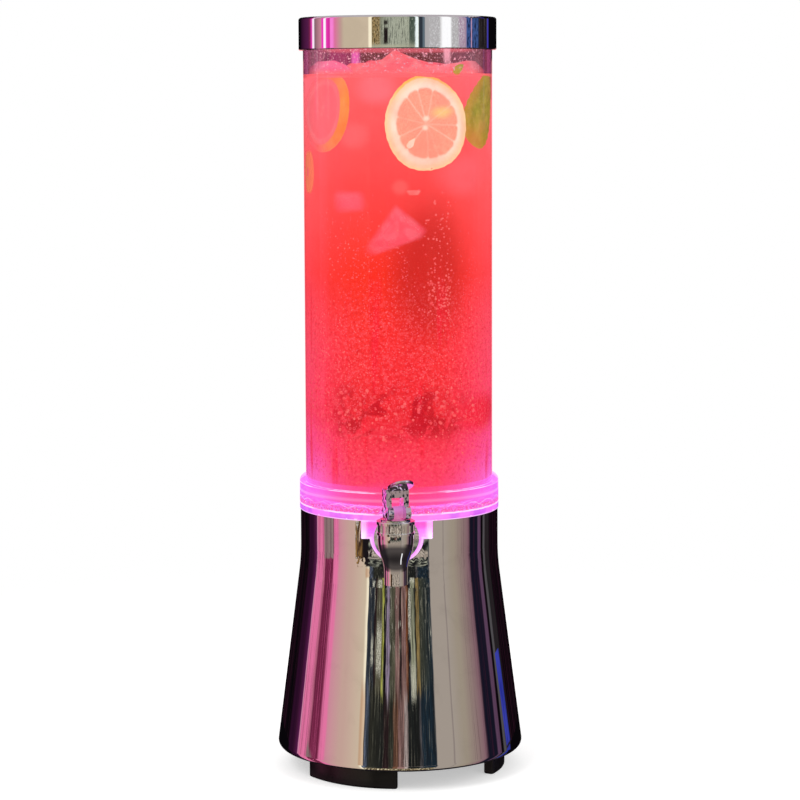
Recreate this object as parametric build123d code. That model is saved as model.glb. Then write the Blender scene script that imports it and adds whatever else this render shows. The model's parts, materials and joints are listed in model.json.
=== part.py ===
"""Lit drinks tower: chrome base with a light, clear vessel, lever tap and slip-over lid.

Millimetres. The origin is on the table under the tower's axis, +Z is up and the tap faces -Y.
Azimuths round the tower are degrees from -Y towards +X.
"""
from build123d import *
import math
import os

# Heights of the main pieces
FOOT_DROP = 13.4            # table to the skirt's lower edge
SHELL_HEIGHT = 155.6        # skirt's lower edge to the shell's rim
FLARE_START = 123.6         # skirt's lower edge to the foot of the straight neck
COLLAR_HEIGHT = 21.0        # shell's rim to the collar's top
FLOOR_THICKNESS = 3.5
TUBE_LENGTH = 306.0
LID_HEIGHT = 20.5

# Radii and walls of the main pieces
TUBE_R = 60.0
TUBE_WALL = 3.0
TUBE_EDGE_R = 0.8
COLLAR_WALL = 4.0
COLLAR_LAND = 0.45          # flat part of the collar's top, inside its rounded shoulder
NECK_SETBACK = 0.5          # collar's outside to the shell's neck
SKIRT_R = 79.5
SKIRT_EDGE_R = 3.5
FLARE_BLEND_R = 150.0
SHELL_WALL = 2.5
BEAD_THICKNESS = 4.9        # thickened lower rim of the skirt
BEAD_HEIGHT = 8.5
LID_WALL = 2.2
LID_TOP = 3.0
LID_EDGE_R = 1.6

# Spigot under the vessel that centres it in the shell's neck
SPIGOT_DEPTH = 8.0
SPIGOT_WALL = 3.0

# Well at the vessel's front, where the tap's shank goes in
WELL_WIDTH = 44.0
WELL_STEP_DROP = 10.5       # rim to the step where the wide part ends
WELL_R = 16.6
WELL_WALL = 3.0
WELL_PROUD = 2.0            # collar's outside to the well's front pad
WELL_DEPTH = 30.0           # front pad to the well's back
WELL_EDGE_R = 1.0
SHANK_DROP = 9.0            # rim to the shank's axis

# Feet, bottom cover and screws
FOOT_COUNT = 3
FOOT_INSET = 11.5           # skirt's radius to the foot's outside
FOOT_WIDTH = 7.0
FOOT_SPAN = 58.0
FOOT_CENTRE_AZIMUTH = -29.0
FOOT_CORNER_R = 2.0
FOOT_EDGE_R = 1.2
FOOT_SCREW_DEPTH = 10.0     # foot's underside to the seat of the screw's head
FOOT_SCREW_SPREAD = 18.0    # degrees each side of the foot's centre
FOOT_BOSS_R = 4.0
FOOT_BOSS_HEIGHT = 6.0
COVER_RECESS = 0.5          # skirt's lower edge up to the cover's underside
COVER_THICKNESS = 3.0
POST_R = 4.5
POST_INSET = 9.9            # skirt's radius to the post's axis
POST_HEIGHT = 31.0
POST_AZIMUTH = 53.0
POST_PILOT_DEPTH = 12.0
POST_WEB = 2.0              # web that ties each post to the skirt's wall
SCREW_R = 1.1
SCREW_HOLE_R = 1.35
SCREW_HEAD_R = 2.0
SCREW_HEAD_HEIGHT = 1.6
COUNTERBORE_R = 2.3

# Light unit under the vessel's floor
DECK_DROP = 41.0            # shell's rim to the deck's top
DECK_THICKNESS = 3.0
LEDGE_THICKNESS = 6.0
LEDGE_WIDTH = 6.0
DECK_SCREW_INSET = 3.4      # neck's inside to the circle of the deck's screws
DECK_SCREW_LENGTH = 8.0
DECK_SCREW_AZIMUTH = 60.0
STANDOFF_HEIGHT = 3.0
STANDOFF_R = 3.0
STANDOFF_CIRCLE = 16.0
BOARD_R = 21.0
BOARD_THICKNESS = 1.6
LAMP_SIZE = 5.0
LAMP_HEIGHT = 1.6
LAMP_CIRCLE = 13.0
LAMP_COUNT = 6
LENS_R = 25.0
LENS_WALL = 2.0
LENS_HEIGHT = 14.0
LENS_EDGE_R = 9.0

# Batteries, holder and door
CELL_R = 5.25
CELL_LENGTH = 44.5
CELL_COUNT = 3
CELL_GAP = 0.4
CELL_NUB_R = 1.9
CELL_NUB_LENGTH = 1.0
CONTACT_THICKNESS = 0.8
CONTACT_SIZE = 8.0
HOLDER_WALL = 1.5
DOOR_THICKNESS = 1.8
DOOR_MARGIN = 5.0           # how far the door covers the window's edges, at its ends
DOOR_SIDE_MARGIN = 3.0
RAIL_WIDTH = 2.5
RAIL_LIP = 1.6
RAIL_LIP_THICKNESS = 1.2
STOP_LENGTH = 2.0
GRIP_RIB_LENGTH = 14.0
GRIP_RIB_WIDTH = 1.2
GRIP_RIB_PITCH = 2.6
GRIP_RIB_DEPTH = 0.7
GRIP_RIB_COUNT = 3

# Push button and its switch
BUTTON_R = 6.0
BUTTON_PROUD = 2.4
BUTTON_FLANGE_R = 7.6
BUTTON_FLANGE = 1.2
BUTTON_STEM_R = 2.0
BUTTON_STEM = 3.3
BUTTON_TRAVEL = 1.5
BUTTON_Y = 42.0
SWITCH_LENGTH = 22.0
SWITCH_WIDTH = 12.0
SWITCH_HEIGHT = 6.5
SWITCH_LEG = 2.4

# Leads inside the base
LEAD_R = 1.4
LEAD_HOLE_R = 2.2

# Tap
TAP_STANDOFF = 22.0         # well's front pad to the tap's barrel axis
FLANGE_R = 14.0
FLANGE_THICKNESS = 3.0
SHANK_R = 6.5
SHANK_BORE_R = 4.5
SHANK_NECK_R = 8.5
SHANK_TAIL = 2.5            # how far the shank stands out of its nut
GASKET_R = 13.0
GASKET_THICKNESS = 2.0
INNER_WASHER_R = 8.6
INNER_WASHER_THICKNESS = 1.5
NUT_FLATS = 17.0
NUT_LENGTH = 6.0
SPOUT_R = 7.2
SPOUT_BORE_R = 5.0
SPOUT_DROP = 25.8           # shank's axis to the spout's end
SPOUT_STRAIGHT = 7.4
BARREL_R = 11.0
BARREL_RISE = 5.5           # shank's axis to the barrel's shoulder
WAIST_R = 9.0
WAIST_DROP = 8.8            # shank's axis to the point where the barrel's curve turns
CHAMBER_R = 7.6
SEAT_DROP = 7.0             # shank's axis to the valve seat
NECK_THREAD_R = 9.2
NECK_THREAD_HEIGHT = 5.8
BONNET_R = 11.3
BONNET_FLANGE_R = 12.0
BONNET_FLANGE = 2.0
BONNET_FOOT_R = 11.8
BONNET_FOOT = 1.6
BONNET_TOP = 2.6
GRIP_COUNT = 14
GRIP_GROOVE_R = 1.0
SEAL_R = 5.0
SEAL_THICKNESS = 1.15
ROCKER_R = 9.5
ROCKER_THICKNESS = 1.0

# Valve stem, spring and lever
STEM_R = 3.0
STEM_FLANGE_R = 6.2
STEM_FLANGE = 2.0
STEM_NUB_R = 1.5
SEAT_WASHER_R = 6.6
SEAT_WASHER = 2.5
SPRING_R = 4.6
SPRING_WIRE_R = 0.45
SPRING_TURNS = 5
HEAD_WIDTH = 7.3
HEAD_R = 3.6
PIN_R = 1.25
PIN_RISE = 4.2              # rocker washer's top to the lever's pin
HEEL_REACH = 5.0            # pin to the heel's centre: stem lift for each radian of tilt
LEG_THICKNESS = 3.4
LEG_DEPTH = 8.0
WINDOW_RISE = 9.2           # pin to the top of the lever's window
ARM_RISE = 14.6             # pin to the root of the paddle
ARM_EDGE_R = 1.2
PADDLE_LENGTH = 22.0
PADDLE_WIDTH = 16.0
PADDLE_THICKNESS = 2.2
PADDLE_EDGE_R = 0.9
PADDLE_ROOT = 1.5           # paddle's root ahead of the pin
PADDLE_TILT = 24.0
LEVER_TURN = 20.0           # how far the lever is swivelled towards +X at rest

# Clearances
NECK_CLEARANCE = 0.5        # spigot and light deck in the shell's neck
NOTCH_CLEARANCE = 0.4
COVER_CLEARANCE = 0.3
LID_CLEARANCE = 0.5
GLUE_GAP = 0.05
THREAD_CLEARANCE = 0.05
RUNNING_CLEARANCE = 0.05
FORK_CLEARANCE = 0.2
HEEL_CLEARANCE = 0.2
SEAT_CLEARANCE = 0.05
BUTTON_CLEARANCE = 0.3
DOOR_CLEARANCE = 0.3
CELL_CLEARANCE = 0.3
OVERCUT = 1.0

# Levels and radii that follow from the sizes above
RIM_Z = FOOT_DROP + SHELL_HEIGHT
FLARE_Z = FOOT_DROP + FLARE_START
FLOOR_TOP = RIM_Z + FLOOR_THICKNESS
TUBE_TOP = FLOOR_TOP + TUBE_LENGTH
TUBE_INNER_R = TUBE_R - TUBE_WALL
COLLAR_R = TUBE_R + COLLAR_WALL
COLLAR_SHOULDER_R = COLLAR_WALL - GLUE_GAP - COLLAR_LAND
NECK_R = COLLAR_R - NECK_SETBACK
NECK_INNER_R = NECK_R - SHELL_WALL
WELL_FRONT = COLLAR_R + WELL_PROUD
WELL_BACK = WELL_FRONT - WELL_DEPTH
TAP_REACH = WELL_FRONT + TAP_STANDOFF
FOOT_OUTER_R = SKIRT_R - FOOT_INSET
FOOT_INNER_R = FOOT_OUTER_R - FOOT_WIDTH
POST_CIRCLE = SKIRT_R - POST_INSET
COVER_BOTTOM = FOOT_DROP + COVER_RECESS
COVER_TOP = COVER_BOTTOM + COVER_THICKNESS
COVER_R = SKIRT_R - BEAD_THICKNESS - COVER_CLEARANCE
DECK_TOP = RIM_Z - DECK_DROP
DECK_BOTTOM = DECK_TOP - DECK_THICKNESS
DECK_R = NECK_INNER_R - NECK_CLEARANCE
DECK_SCREW_CIRCLE = NECK_INNER_R - DECK_SCREW_INSET
BOARD_BOTTOM = DECK_TOP + STANDOFF_HEIGHT
SHANK_Z = RIM_Z - SHANK_DROP
SHOULDER_Z = SHANK_Z + BARREL_RISE
SEAT_Z = SHANK_Z - SEAT_DROP
BONNET_CEILING = SHOULDER_Z + NECK_THREAD_HEIGHT + THREAD_CLEARANCE
BONNET_Z = BONNET_CEILING + BONNET_TOP
ROCKER_TOP = BONNET_Z + ROCKER_THICKNESS
PIN_Z = ROCKER_TOP + PIN_RISE
STEM_FLANGE_Z = SEAT_Z + SEAT_CLEARANCE + SEAT_WASHER
HEEL_R = PIN_RISE - HEEL_CLEARANCE
FORK_GAP = HEAD_WIDTH + 2 * FORK_CLEARANCE
FORK_WIDTH = FORK_GAP + 2 * LEG_THICKNESS
WINDOW_LENGTH = CELL_LENGTH + 2 * CONTACT_THICKNESS
WINDOW_WIDTH = CELL_COUNT * 2 * CELL_R + (CELL_COUNT + 1) * CELL_GAP
CELL_Z = COVER_BOTTOM + CELL_R
HOLDER_CEILING = COVER_BOTTOM + 2 * CELL_R + CELL_CLEARANCE
HOLDER_TOP = HOLDER_CEILING + HOLDER_WALL
DOOR_TOP = FOOT_DROP - DOOR_CLEARANCE
DOOR_BOTTOM = DOOR_TOP - DOOR_THICKNESS
DOOR_LENGTH = WINDOW_LENGTH + 2 * DOOR_MARGIN
DOOR_WIDTH = WINDOW_WIDTH + 2 * DOOR_SIDE_MARGIN
SWITCH_BOTTOM = COVER_TOP + BUTTON_FLANGE + BUTTON_TRAVEL + BUTTON_CLEARANCE

STANDING = (Align.CENTER, Align.CENTER, Align.MIN)
FOOT_AZIMUTHS = [FOOT_CENTRE_AZIMUTH + 360 / FOOT_COUNT * i for i in range(FOOT_COUNT)]
FOOT_NAMES = ["foot_front_left", "foot_right", "foot_rear_left"]
POST_AZIMUTHS = [POST_AZIMUTH + 120 * i for i in range(3)]
DECK_SCREW_AZIMUTHS = [DECK_SCREW_AZIMUTH + 120 * i for i in range(3)]


def around(azimuth, radius, z=0.0):
    """Place at an azimuth and radius round the tower's axis, turned to face outwards."""
    return Rot(0, 0, azimuth) * Pos(0, -radius, z)


def post(radius, bottom, top):
    """Round post on the Z axis between two heights."""
    return Pos(0, 0, bottom) * Cylinder(radius, top - bottom, align=STANDING)


def ring(outer_r, inner_r, bottom, top):
    """Plain ring on the Z axis between two heights."""
    return post(outer_r, bottom, top) - post(inner_r, bottom, top)


def along_y(radius, start, end, z):
    """Round bar along +Y between two Y values, at a height."""
    return Pos(0, start, z) * Rot(-90, 0, 0) * Cylinder(radius, end - start, align=STANDING)


def along_x(radius, length, y, z):
    """Round bar along X, centred on the YZ plane."""
    return Pos(0, y, z) * Rot(0, 90, 0) * Cylinder(radius, length)


def block(length, width, bottom, top):
    """Box centred on the Z axis between two heights."""
    return Pos(0, 0, bottom) * Box(length, width, top - bottom, align=STANDING)


def turned(*corners, rounded=()):
    """Solid turned about Z from (radius, height) corners; rounded lists (corner, radius) pairs."""
    face = make_face(Polyline(*corners, close=True))
    for corner, radius in rounded:
        face = fillet(face.vertices().sort_by_distance(corner)[0], radius)
    return revolve(Plane.XZ * face, Axis.Z)


def group(solids):
    """Separate solids that share one node."""
    return Compound(children=[solid for solid in solids])


def screw(length):
    """Pan-head screw pointing up, with the underside of its head at the origin."""
    return post(SCREW_R, 0, length) + post(SCREW_HEAD_R, -SCREW_HEAD_HEIGHT, 0)


# Base shell, cover and feet


def flare_radius(z):
    """Radius of the skirt's outside at a height on the flare."""
    return NECK_R + (SKIRT_R - NECK_R) * (FLARE_Z - z) / FLARE_START


def shell_outside():
    """Outside of the shell, filled: straight neck, blended flare and rounded lower edge."""
    skirt_corner = (SKIRT_R, FOOT_DROP)
    flare_corner = (NECK_R, FLARE_Z)
    return turned(
        (0, FOOT_DROP), skirt_corner, flare_corner, (NECK_R, RIM_Z), (0, RIM_Z),
        rounded=[(skirt_corner, SKIRT_EDGE_R), (flare_corner, FLARE_BLEND_R)],
    )


def shell_hollow():
    """Inside of the shell, open at both ends, with the thicker bead at the bottom."""
    bead_top = FOOT_DROP + BEAD_HEIGHT
    bead_r = SKIRT_R - BEAD_THICKNESS
    return turned(
        (0, FOOT_DROP - OVERCUT), (bead_r, FOOT_DROP - OVERCUT), (bead_r, bead_top),
        (flare_radius(bead_top) - SHELL_WALL, bead_top), (NECK_INNER_R, FLARE_Z),
        (NECK_INNER_R, RIM_Z + OVERCUT), (0, RIM_Z + OVERCUT),
    )


def well_outline(grow, top):
    """Front view of the tap's well: a wide upper part and a round lower part, grown on all sides."""
    step = RIM_Z - WELL_STEP_DROP - grow
    bottom = SHANK_Z - WELL_R - grow
    wide = Pos(0, (step + top) / 2) * Rectangle(WELL_WIDTH + 2 * grow, top - step)
    below_top = Pos(0, (bottom + top) / 2) * Rectangle(WELL_WIDTH, top - bottom)
    return wide + (Pos(0, SHANK_Z) * Circle(WELL_R + grow) & below_top)


def well_block(grow, back, front, top):
    """Well outline carried from its back to its front, both given as distances from the axis."""
    return extrude(Plane.XZ.offset(back) * well_outline(grow, top), front - back)


def cover_post(azimuth):
    """Screw post inside the skirt, with a web out to the skirt's wall."""
    top = COVER_TOP + POST_HEIGHT
    web = around(azimuth, SKIRT_R - POST_INSET / 2) * block(POST_WEB, POST_INSET, COVER_TOP, top)
    return around(azimuth, POST_CIRCLE) * post(POST_R, COVER_TOP, top) + web


def make_base_shell():
    """Chrome shell with the tap's notch, the ledge for the light and the posts for the cover."""
    outside = shell_outside()
    ledge = ring(SKIRT_R, NECK_INNER_R - LEDGE_WIDTH, DECK_BOTTOM - LEDGE_THICKNESS, DECK_BOTTOM)
    posts = [cover_post(azimuth) for azimuth in POST_AZIMUTHS]
    shell = outside - shell_hollow() + ((ledge + posts) & outside)
    shell -= well_block(NOTCH_CLEARANCE, WELL_BACK, SKIRT_R, RIM_Z + OVERCUT)
    for azimuth in POST_AZIMUTHS:
        pilot_top = COVER_TOP + POST_PILOT_DEPTH
        shell -= around(azimuth, POST_CIRCLE) * post(SCREW_R, COVER_TOP, pilot_top)
    for azimuth in DECK_SCREW_AZIMUTHS:
        pilot_bottom = DECK_TOP - DECK_SCREW_LENGTH
        shell -= around(azimuth, DECK_SCREW_CIRCLE) * post(SCREW_R, pilot_bottom, DECK_BOTTOM)
    return shell


def foot_screw_places(azimuth):
    """Places of one foot's two screws."""
    middle = (FOOT_INNER_R + FOOT_OUTER_R) / 2
    return [around(azimuth + side * FOOT_SCREW_SPREAD, middle) for side in (-1, 1)]


def make_foot(azimuth):
    """Arc-shaped foot from the table to the cover, with two counterbored screw holes."""
    start = azimuth - FOOT_SPAN / 2 - 90
    inner = CenterArc((0, 0), FOOT_INNER_R, start, FOOT_SPAN)
    outer = CenterArc((0, 0), FOOT_OUTER_R, start, FOOT_SPAN)
    sides = [Line(inner @ 0, outer @ 0), Line(inner @ 1, outer @ 1)]
    foot = extrude(make_face([inner, outer] + sides), COVER_BOTTOM)
    upright = foot.edges().filter_by(Axis.Z)
    foot = fillet(upright, FOOT_CORNER_R)
    foot = fillet(foot.faces().sort_by(Axis.Z)[0].edges(), FOOT_EDGE_R)
    for place in foot_screw_places(azimuth):
        foot -= place * post(SCREW_HOLE_R, 0, COVER_BOTTOM)
        foot -= place * post(COUNTERBORE_R, 0, FOOT_SCREW_DEPTH)
    return foot


def make_foot_screws():
    """Two screws for each foot, up into the cover's bosses."""
    length = COVER_TOP + FOOT_BOSS_HEIGHT - FOOT_SCREW_DEPTH - OVERCUT
    places = [place for azimuth in FOOT_AZIMUTHS for place in foot_screw_places(azimuth)]
    return group([place * Pos(0, 0, FOOT_SCREW_DEPTH) * screw(length) for place in places])


def door_rail(side):
    """Rail with an inward lip under one long edge of the battery door."""
    web_inner = DOOR_WIDTH / 2 + DOOR_CLEARANCE
    lip_top = DOOR_BOTTOM - DOOR_CLEARANCE
    lip_bottom = lip_top - RAIL_LIP_THICKNESS
    web = Pos(0, side * (web_inner + RAIL_WIDTH / 2)) * block(DOOR_LENGTH, RAIL_WIDTH, lip_bottom, COVER_BOTTOM)
    lip_width = RAIL_LIP + RAIL_WIDTH
    lip_centre = web_inner + RAIL_WIDTH - lip_width / 2
    return web + Pos(0, side * lip_centre) * block(DOOR_LENGTH, lip_width, lip_bottom, lip_top)


def make_bottom_cover():
    """Disc that closes the skirt, with the battery window, door rails, button hole and foot bosses."""
    cover = post(COVER_R, COVER_BOTTOM, COVER_TOP)
    boss_places = [place for azimuth in FOOT_AZIMUTHS for place in foot_screw_places(azimuth)]
    for place in boss_places:
        cover += place * post(FOOT_BOSS_R, COVER_BOTTOM, COVER_TOP + FOOT_BOSS_HEIGHT)
    for place in boss_places:
        cover -= place * post(SCREW_R, COVER_BOTTOM, COVER_TOP + FOOT_BOSS_HEIGHT)
    for azimuth in POST_AZIMUTHS:
        cover -= around(azimuth, POST_CIRCLE) * post(SCREW_HOLE_R, COVER_BOTTOM, COVER_TOP)
    cover -= block(WINDOW_LENGTH, WINDOW_WIDTH, COVER_BOTTOM, COVER_TOP)
    cover -= Pos(0, BUTTON_Y) * post(BUTTON_R + BUTTON_CLEARANCE, COVER_BOTTOM, COVER_TOP)
    cover += [door_rail(-1), door_rail(1)]
    stop_x = DOOR_LENGTH / 2 + DOOR_CLEARANCE + STOP_LENGTH / 2
    return cover + Pos(stop_x, 0) * block(STOP_LENGTH, DOOR_WIDTH, DOOR_BOTTOM, COVER_BOTTOM)


def make_cover_screws():
    """Three screws through the cover into the shell's posts."""
    length = COVER_THICKNESS + POST_PILOT_DEPTH - OVERCUT
    places = [around(a, POST_CIRCLE, COVER_BOTTOM) for a in POST_AZIMUTHS]
    return group([place * screw(length) for place in places])


# Light unit


def make_light_deck():
    """Disc on the shell's ledge that carries the lamp board on three standoffs."""
    deck = post(DECK_R, DECK_BOTTOM, DECK_TOP)
    deck += [around(a, STANDOFF_CIRCLE) * post(STANDOFF_R, DECK_BOTTOM, BOARD_BOTTOM)
             for a in DECK_SCREW_AZIMUTHS]
    for azimuth in DECK_SCREW_AZIMUTHS:
        deck -= around(azimuth, DECK_SCREW_CIRCLE) * post(SCREW_HOLE_R, DECK_BOTTOM, DECK_TOP)
    return deck - Pos(*BOARD_ENTRY) * post(LEAD_HOLE_R, DECK_BOTTOM, DECK_TOP)


def make_deck_screws():
    """Three screws that hold the deck down on the ledge."""
    places = [around(a, DECK_SCREW_CIRCLE, DECK_TOP) for a in DECK_SCREW_AZIMUTHS]
    return group([place * Rot(180, 0, 0) * screw(DECK_SCREW_LENGTH - OVERCUT) for place in places])


def make_lamp_board():
    """Round lamp board on the deck's standoffs."""
    return post(BOARD_R, BOARD_BOTTOM, BOARD_BOTTOM + BOARD_THICKNESS)


def make_lamps():
    """Ring of square lamps and one in the middle, soldered on the board."""
    top = BOARD_BOTTOM + BOARD_THICKNESS
    lamp = block(LAMP_SIZE, LAMP_SIZE, top, top + LAMP_HEIGHT)
    return group([lamp] + [around(360 / LAMP_COUNT * i, LAMP_CIRCLE) * lamp for i in range(LAMP_COUNT)])


def make_light_lens():
    """Frosted cap over the lamp board, standing on the deck."""
    def cap(radius, height, edge):
        corner = (radius, DECK_TOP + height)
        return turned((0, DECK_TOP), (radius, DECK_TOP), corner, (0, DECK_TOP + height),
                      rounded=[(corner, edge)])
    inside = cap(LENS_R - LENS_WALL, LENS_HEIGHT - LENS_WALL, LENS_EDGE_R - LENS_WALL)
    return cap(LENS_R, LENS_HEIGHT, LENS_EDGE_R) - inside


# Battery compartment


def make_battery_holder():
    """Open-bottomed box over the cover's window."""
    outside = block(WINDOW_LENGTH + 2 * HOLDER_WALL, WINDOW_WIDTH + 2 * HOLDER_WALL, COVER_TOP, HOLDER_TOP)
    return outside - block(WINDOW_LENGTH, WINDOW_WIDTH, COVER_TOP, HOLDER_CEILING)


def cell_rows():
    """Y value of each cell and the end, +1 or -1, that its nub points to."""
    pitch = 2 * CELL_R + CELL_GAP
    return [((i - (CELL_COUNT - 1) / 2) * pitch, (-1) ** i) for i in range(CELL_COUNT)]


def make_batteries():
    """Small cells side by side, alternate ways round."""
    cells = []
    for y, way in cell_rows():
        body = Pos(-way * CELL_NUB_LENGTH / 2, 0) * along_x(CELL_R, CELL_LENGTH - CELL_NUB_LENGTH, y, CELL_Z)
        cells.append(body + along_x(CELL_NUB_R, CELL_LENGTH, y, CELL_Z) & along_x(CELL_R, CELL_LENGTH, y, CELL_Z))
    return group(cells)


def make_battery_contacts():
    """Contact plates at both ends of each cell, against the holder's end walls."""
    x = (CELL_LENGTH + CONTACT_THICKNESS) / 2
    plate = Box(CONTACT_THICKNESS, CONTACT_SIZE, CONTACT_SIZE)
    return group([Pos(end * x, y, CELL_Z) * plate for y, way in cell_rows() for end in (-1, 1)])


def make_battery_door():
    """Door plate in the cover's rails, with finger ribs near the end that comes out."""
    door = block(DOOR_LENGTH, DOOR_WIDTH, DOOR_BOTTOM, DOOR_TOP)
    rib = block(GRIP_RIB_WIDTH, GRIP_RIB_LENGTH, DOOR_BOTTOM - GRIP_RIB_DEPTH, DOOR_TOP)
    first = GRIP_RIB_PITCH - DOOR_LENGTH / 2
    return door + [Pos(first + GRIP_RIB_PITCH * i, 0) * rib for i in range(GRIP_RIB_COUNT)]


# Push button, switch and leads


def make_power_button():
    """Button through the cover, held by its flange, with a stem up into the switch."""
    flange_top = COVER_TOP + BUTTON_FLANGE
    button = post(BUTTON_R, COVER_BOTTOM - BUTTON_PROUD, flange_top)
    button += post(BUTTON_FLANGE_R, COVER_TOP, flange_top)
    return Pos(0, BUTTON_Y) * (button + post(BUTTON_STEM_R, flange_top, flange_top + BUTTON_STEM))


def make_switch_body():
    """Switch that bridges the button on two legs, with a bore for the button's stem."""
    body = block(SWITCH_LENGTH, SWITCH_WIDTH, SWITCH_BOTTOM, SWITCH_BOTTOM + SWITCH_HEIGHT)
    leg = block(SWITCH_LEG, SWITCH_WIDTH, COVER_TOP, SWITCH_BOTTOM + SWITCH_HEIGHT)
    offset = (SWITCH_LENGTH - SWITCH_LEG) / 2
    body += [Pos(-offset, 0) * leg, Pos(offset, 0) * leg]
    bore_top = COVER_TOP + BUTTON_FLANGE + BUTTON_STEM + BUTTON_TRAVEL + BUTTON_CLEARANCE
    return Pos(0, BUTTON_Y) * (body - post(BUTTON_STEM_R + BUTTON_CLEARANCE, SWITCH_BOTTOM, bore_top))


def lead(name, points):
    """Round lead along straight runs joined by the largest arcs that the runs leave room for."""
    corners = [Vector(*p) for p in points]
    radii = []
    for before, here, after in zip(corners, corners[1:], corners[2:]):
        turn = math.radians((here - before).get_angle(after - here))
        shorter = min((here - before).length, (after - here).length)
        radii.append(0.45 * shorter / math.tan(turn / 2))
    print(name, "bend radii", [round(r, 1) for r in radii])
    path = FilletPolyline(*corners, radius=radii)
    return sweep(Plane(path @ 0, z_dir=path % 0) * Circle(LEAD_R), path)


BOARD_ENTRY = (9.0, 12.0)
BATTERY_LEAD = [
    (8.0, 6.0, HOLDER_TOP), (8.0, 6.0, HOLDER_TOP + 20), (16.0, 14.0, HOLDER_TOP + 48),
    (14.0, 20.0, DECK_BOTTOM - 28), (*BOARD_ENTRY, DECK_BOTTOM - 12), (*BOARD_ENTRY, BOARD_BOTTOM),
]
SWITCH_LEAD = [
    (-4.0, BUTTON_Y, SWITCH_BOTTOM + SWITCH_HEIGHT), (-4.0, BUTTON_Y, SWITCH_BOTTOM + SWITCH_HEIGHT + 12),
    (-7.0, BUTTON_Y - 14, SWITCH_BOTTOM + SWITCH_HEIGHT + 22),
    (-9.0, BUTTON_Y - 28, HOLDER_TOP + 16), (-9.0, 8.0, HOLDER_TOP + 10), (-9.0, 8.0, HOLDER_TOP),
]


# Vessel and lid


def make_vessel_cup():
    """Clear collar with the vessel's floor, the mouth of the tap's well in it, and the spigot."""
    seat_r = TUBE_R + GLUE_GAP
    shoulder = (COLLAR_R, RIM_Z + COLLAR_HEIGHT)
    cup = turned(
        (0, RIM_Z), (COLLAR_R, RIM_Z), shoulder, (seat_r, RIM_Z + COLLAR_HEIGHT),
        (seat_r, FLOOR_TOP), (0, FLOOR_TOP),
        rounded=[(shoulder, COLLAR_SHOULDER_R)],
    )
    spigot_r = NECK_INNER_R - NECK_CLEARANCE
    spigot = ring(spigot_r, spigot_r - SPIGOT_WALL, RIM_Z - SPIGOT_DEPTH, RIM_Z)
    cup += spigot - well_block(GLUE_GAP, WELL_BACK - GLUE_GAP, WELL_FRONT, RIM_Z)
    mouth = well_block(-WELL_WALL, WELL_BACK + WELL_WALL, WELL_FRONT, FLOOR_TOP)
    return cup - (mouth & post(TUBE_INNER_R, RIM_Z - OVERCUT, FLOOR_TOP))


def make_tap_well():
    """Clear well glued under the floor, open at its top, with the hole for the tap's shank in its front."""
    well = well_block(0, WELL_BACK, WELL_FRONT, RIM_Z)
    front = well.faces().sort_by(Axis.Y)[0]
    well = fillet(front.edges(), WELL_EDGE_R)
    well -= well_block(-WELL_WALL, WELL_BACK + WELL_WALL, WELL_FRONT - WELL_WALL, RIM_Z)
    return well - along_y(SHANK_R + THREAD_CLEARANCE, -WELL_FRONT, WELL_WALL - WELL_FRONT, SHANK_Z)


def make_vessel_tube():
    """Clear tube glued into the collar, with softened top edges."""
    outer = (TUBE_R, TUBE_TOP)
    inner = (TUBE_INNER_R, TUBE_TOP)
    return turned((TUBE_INNER_R, FLOOR_TOP), (TUBE_R, FLOOR_TOP), outer, inner,
                  rounded=[(outer, TUBE_EDGE_R), (inner, TUBE_EDGE_R)])


def make_lid():
    """Slip-over cap that rests on the tube's rim."""
    inner_r = TUBE_R + LID_CLEARANCE
    outer_r = inner_r + LID_WALL
    top = TUBE_TOP + LID_TOP
    corner = (outer_r, top)
    lip = (outer_r, top - LID_HEIGHT)
    return turned((0, TUBE_TOP), (inner_r, TUBE_TOP), (inner_r, top - LID_HEIGHT), lip, corner, (0, top),
                  rounded=[(corner, LID_EDGE_R), (lip, LID_WALL / 3)])


# Tap. Its pieces are made round the barrel's axis and then moved out to it.


def tap_place():
    """Place of the tap's barrel axis."""
    return Pos(0, -TAP_REACH, 0)


def shank_y(distance):
    """Y value, from the barrel's axis, of a point at a distance from the tower's axis."""
    return TAP_REACH - distance


def barrel_outside():
    """Tap barrel, filled: straight spout, then two arcs that swell to the shoulder."""
    spout_end = SHANK_Z - SPOUT_DROP
    swell = (SPOUT_R, spout_end + SPOUT_STRAIGHT)
    lower = TangentArc(swell, (WAIST_R, SHANK_Z - WAIST_DROP), tangent=(0, 1))
    upper = TangentArc(lower @ 1, (BARREL_R, SHOULDER_Z), tangent=lower % 1)
    neck_top = SHOULDER_Z + NECK_THREAD_HEIGHT
    top = Polyline(upper @ 1, (NECK_THREAD_R, SHOULDER_Z), (NECK_THREAD_R, neck_top), (0, neck_top),
                   (0, spout_end), (SPOUT_R, spout_end), swell)
    return revolve(Plane.XZ * make_face([lower, upper, top]), Axis.Z)


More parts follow.
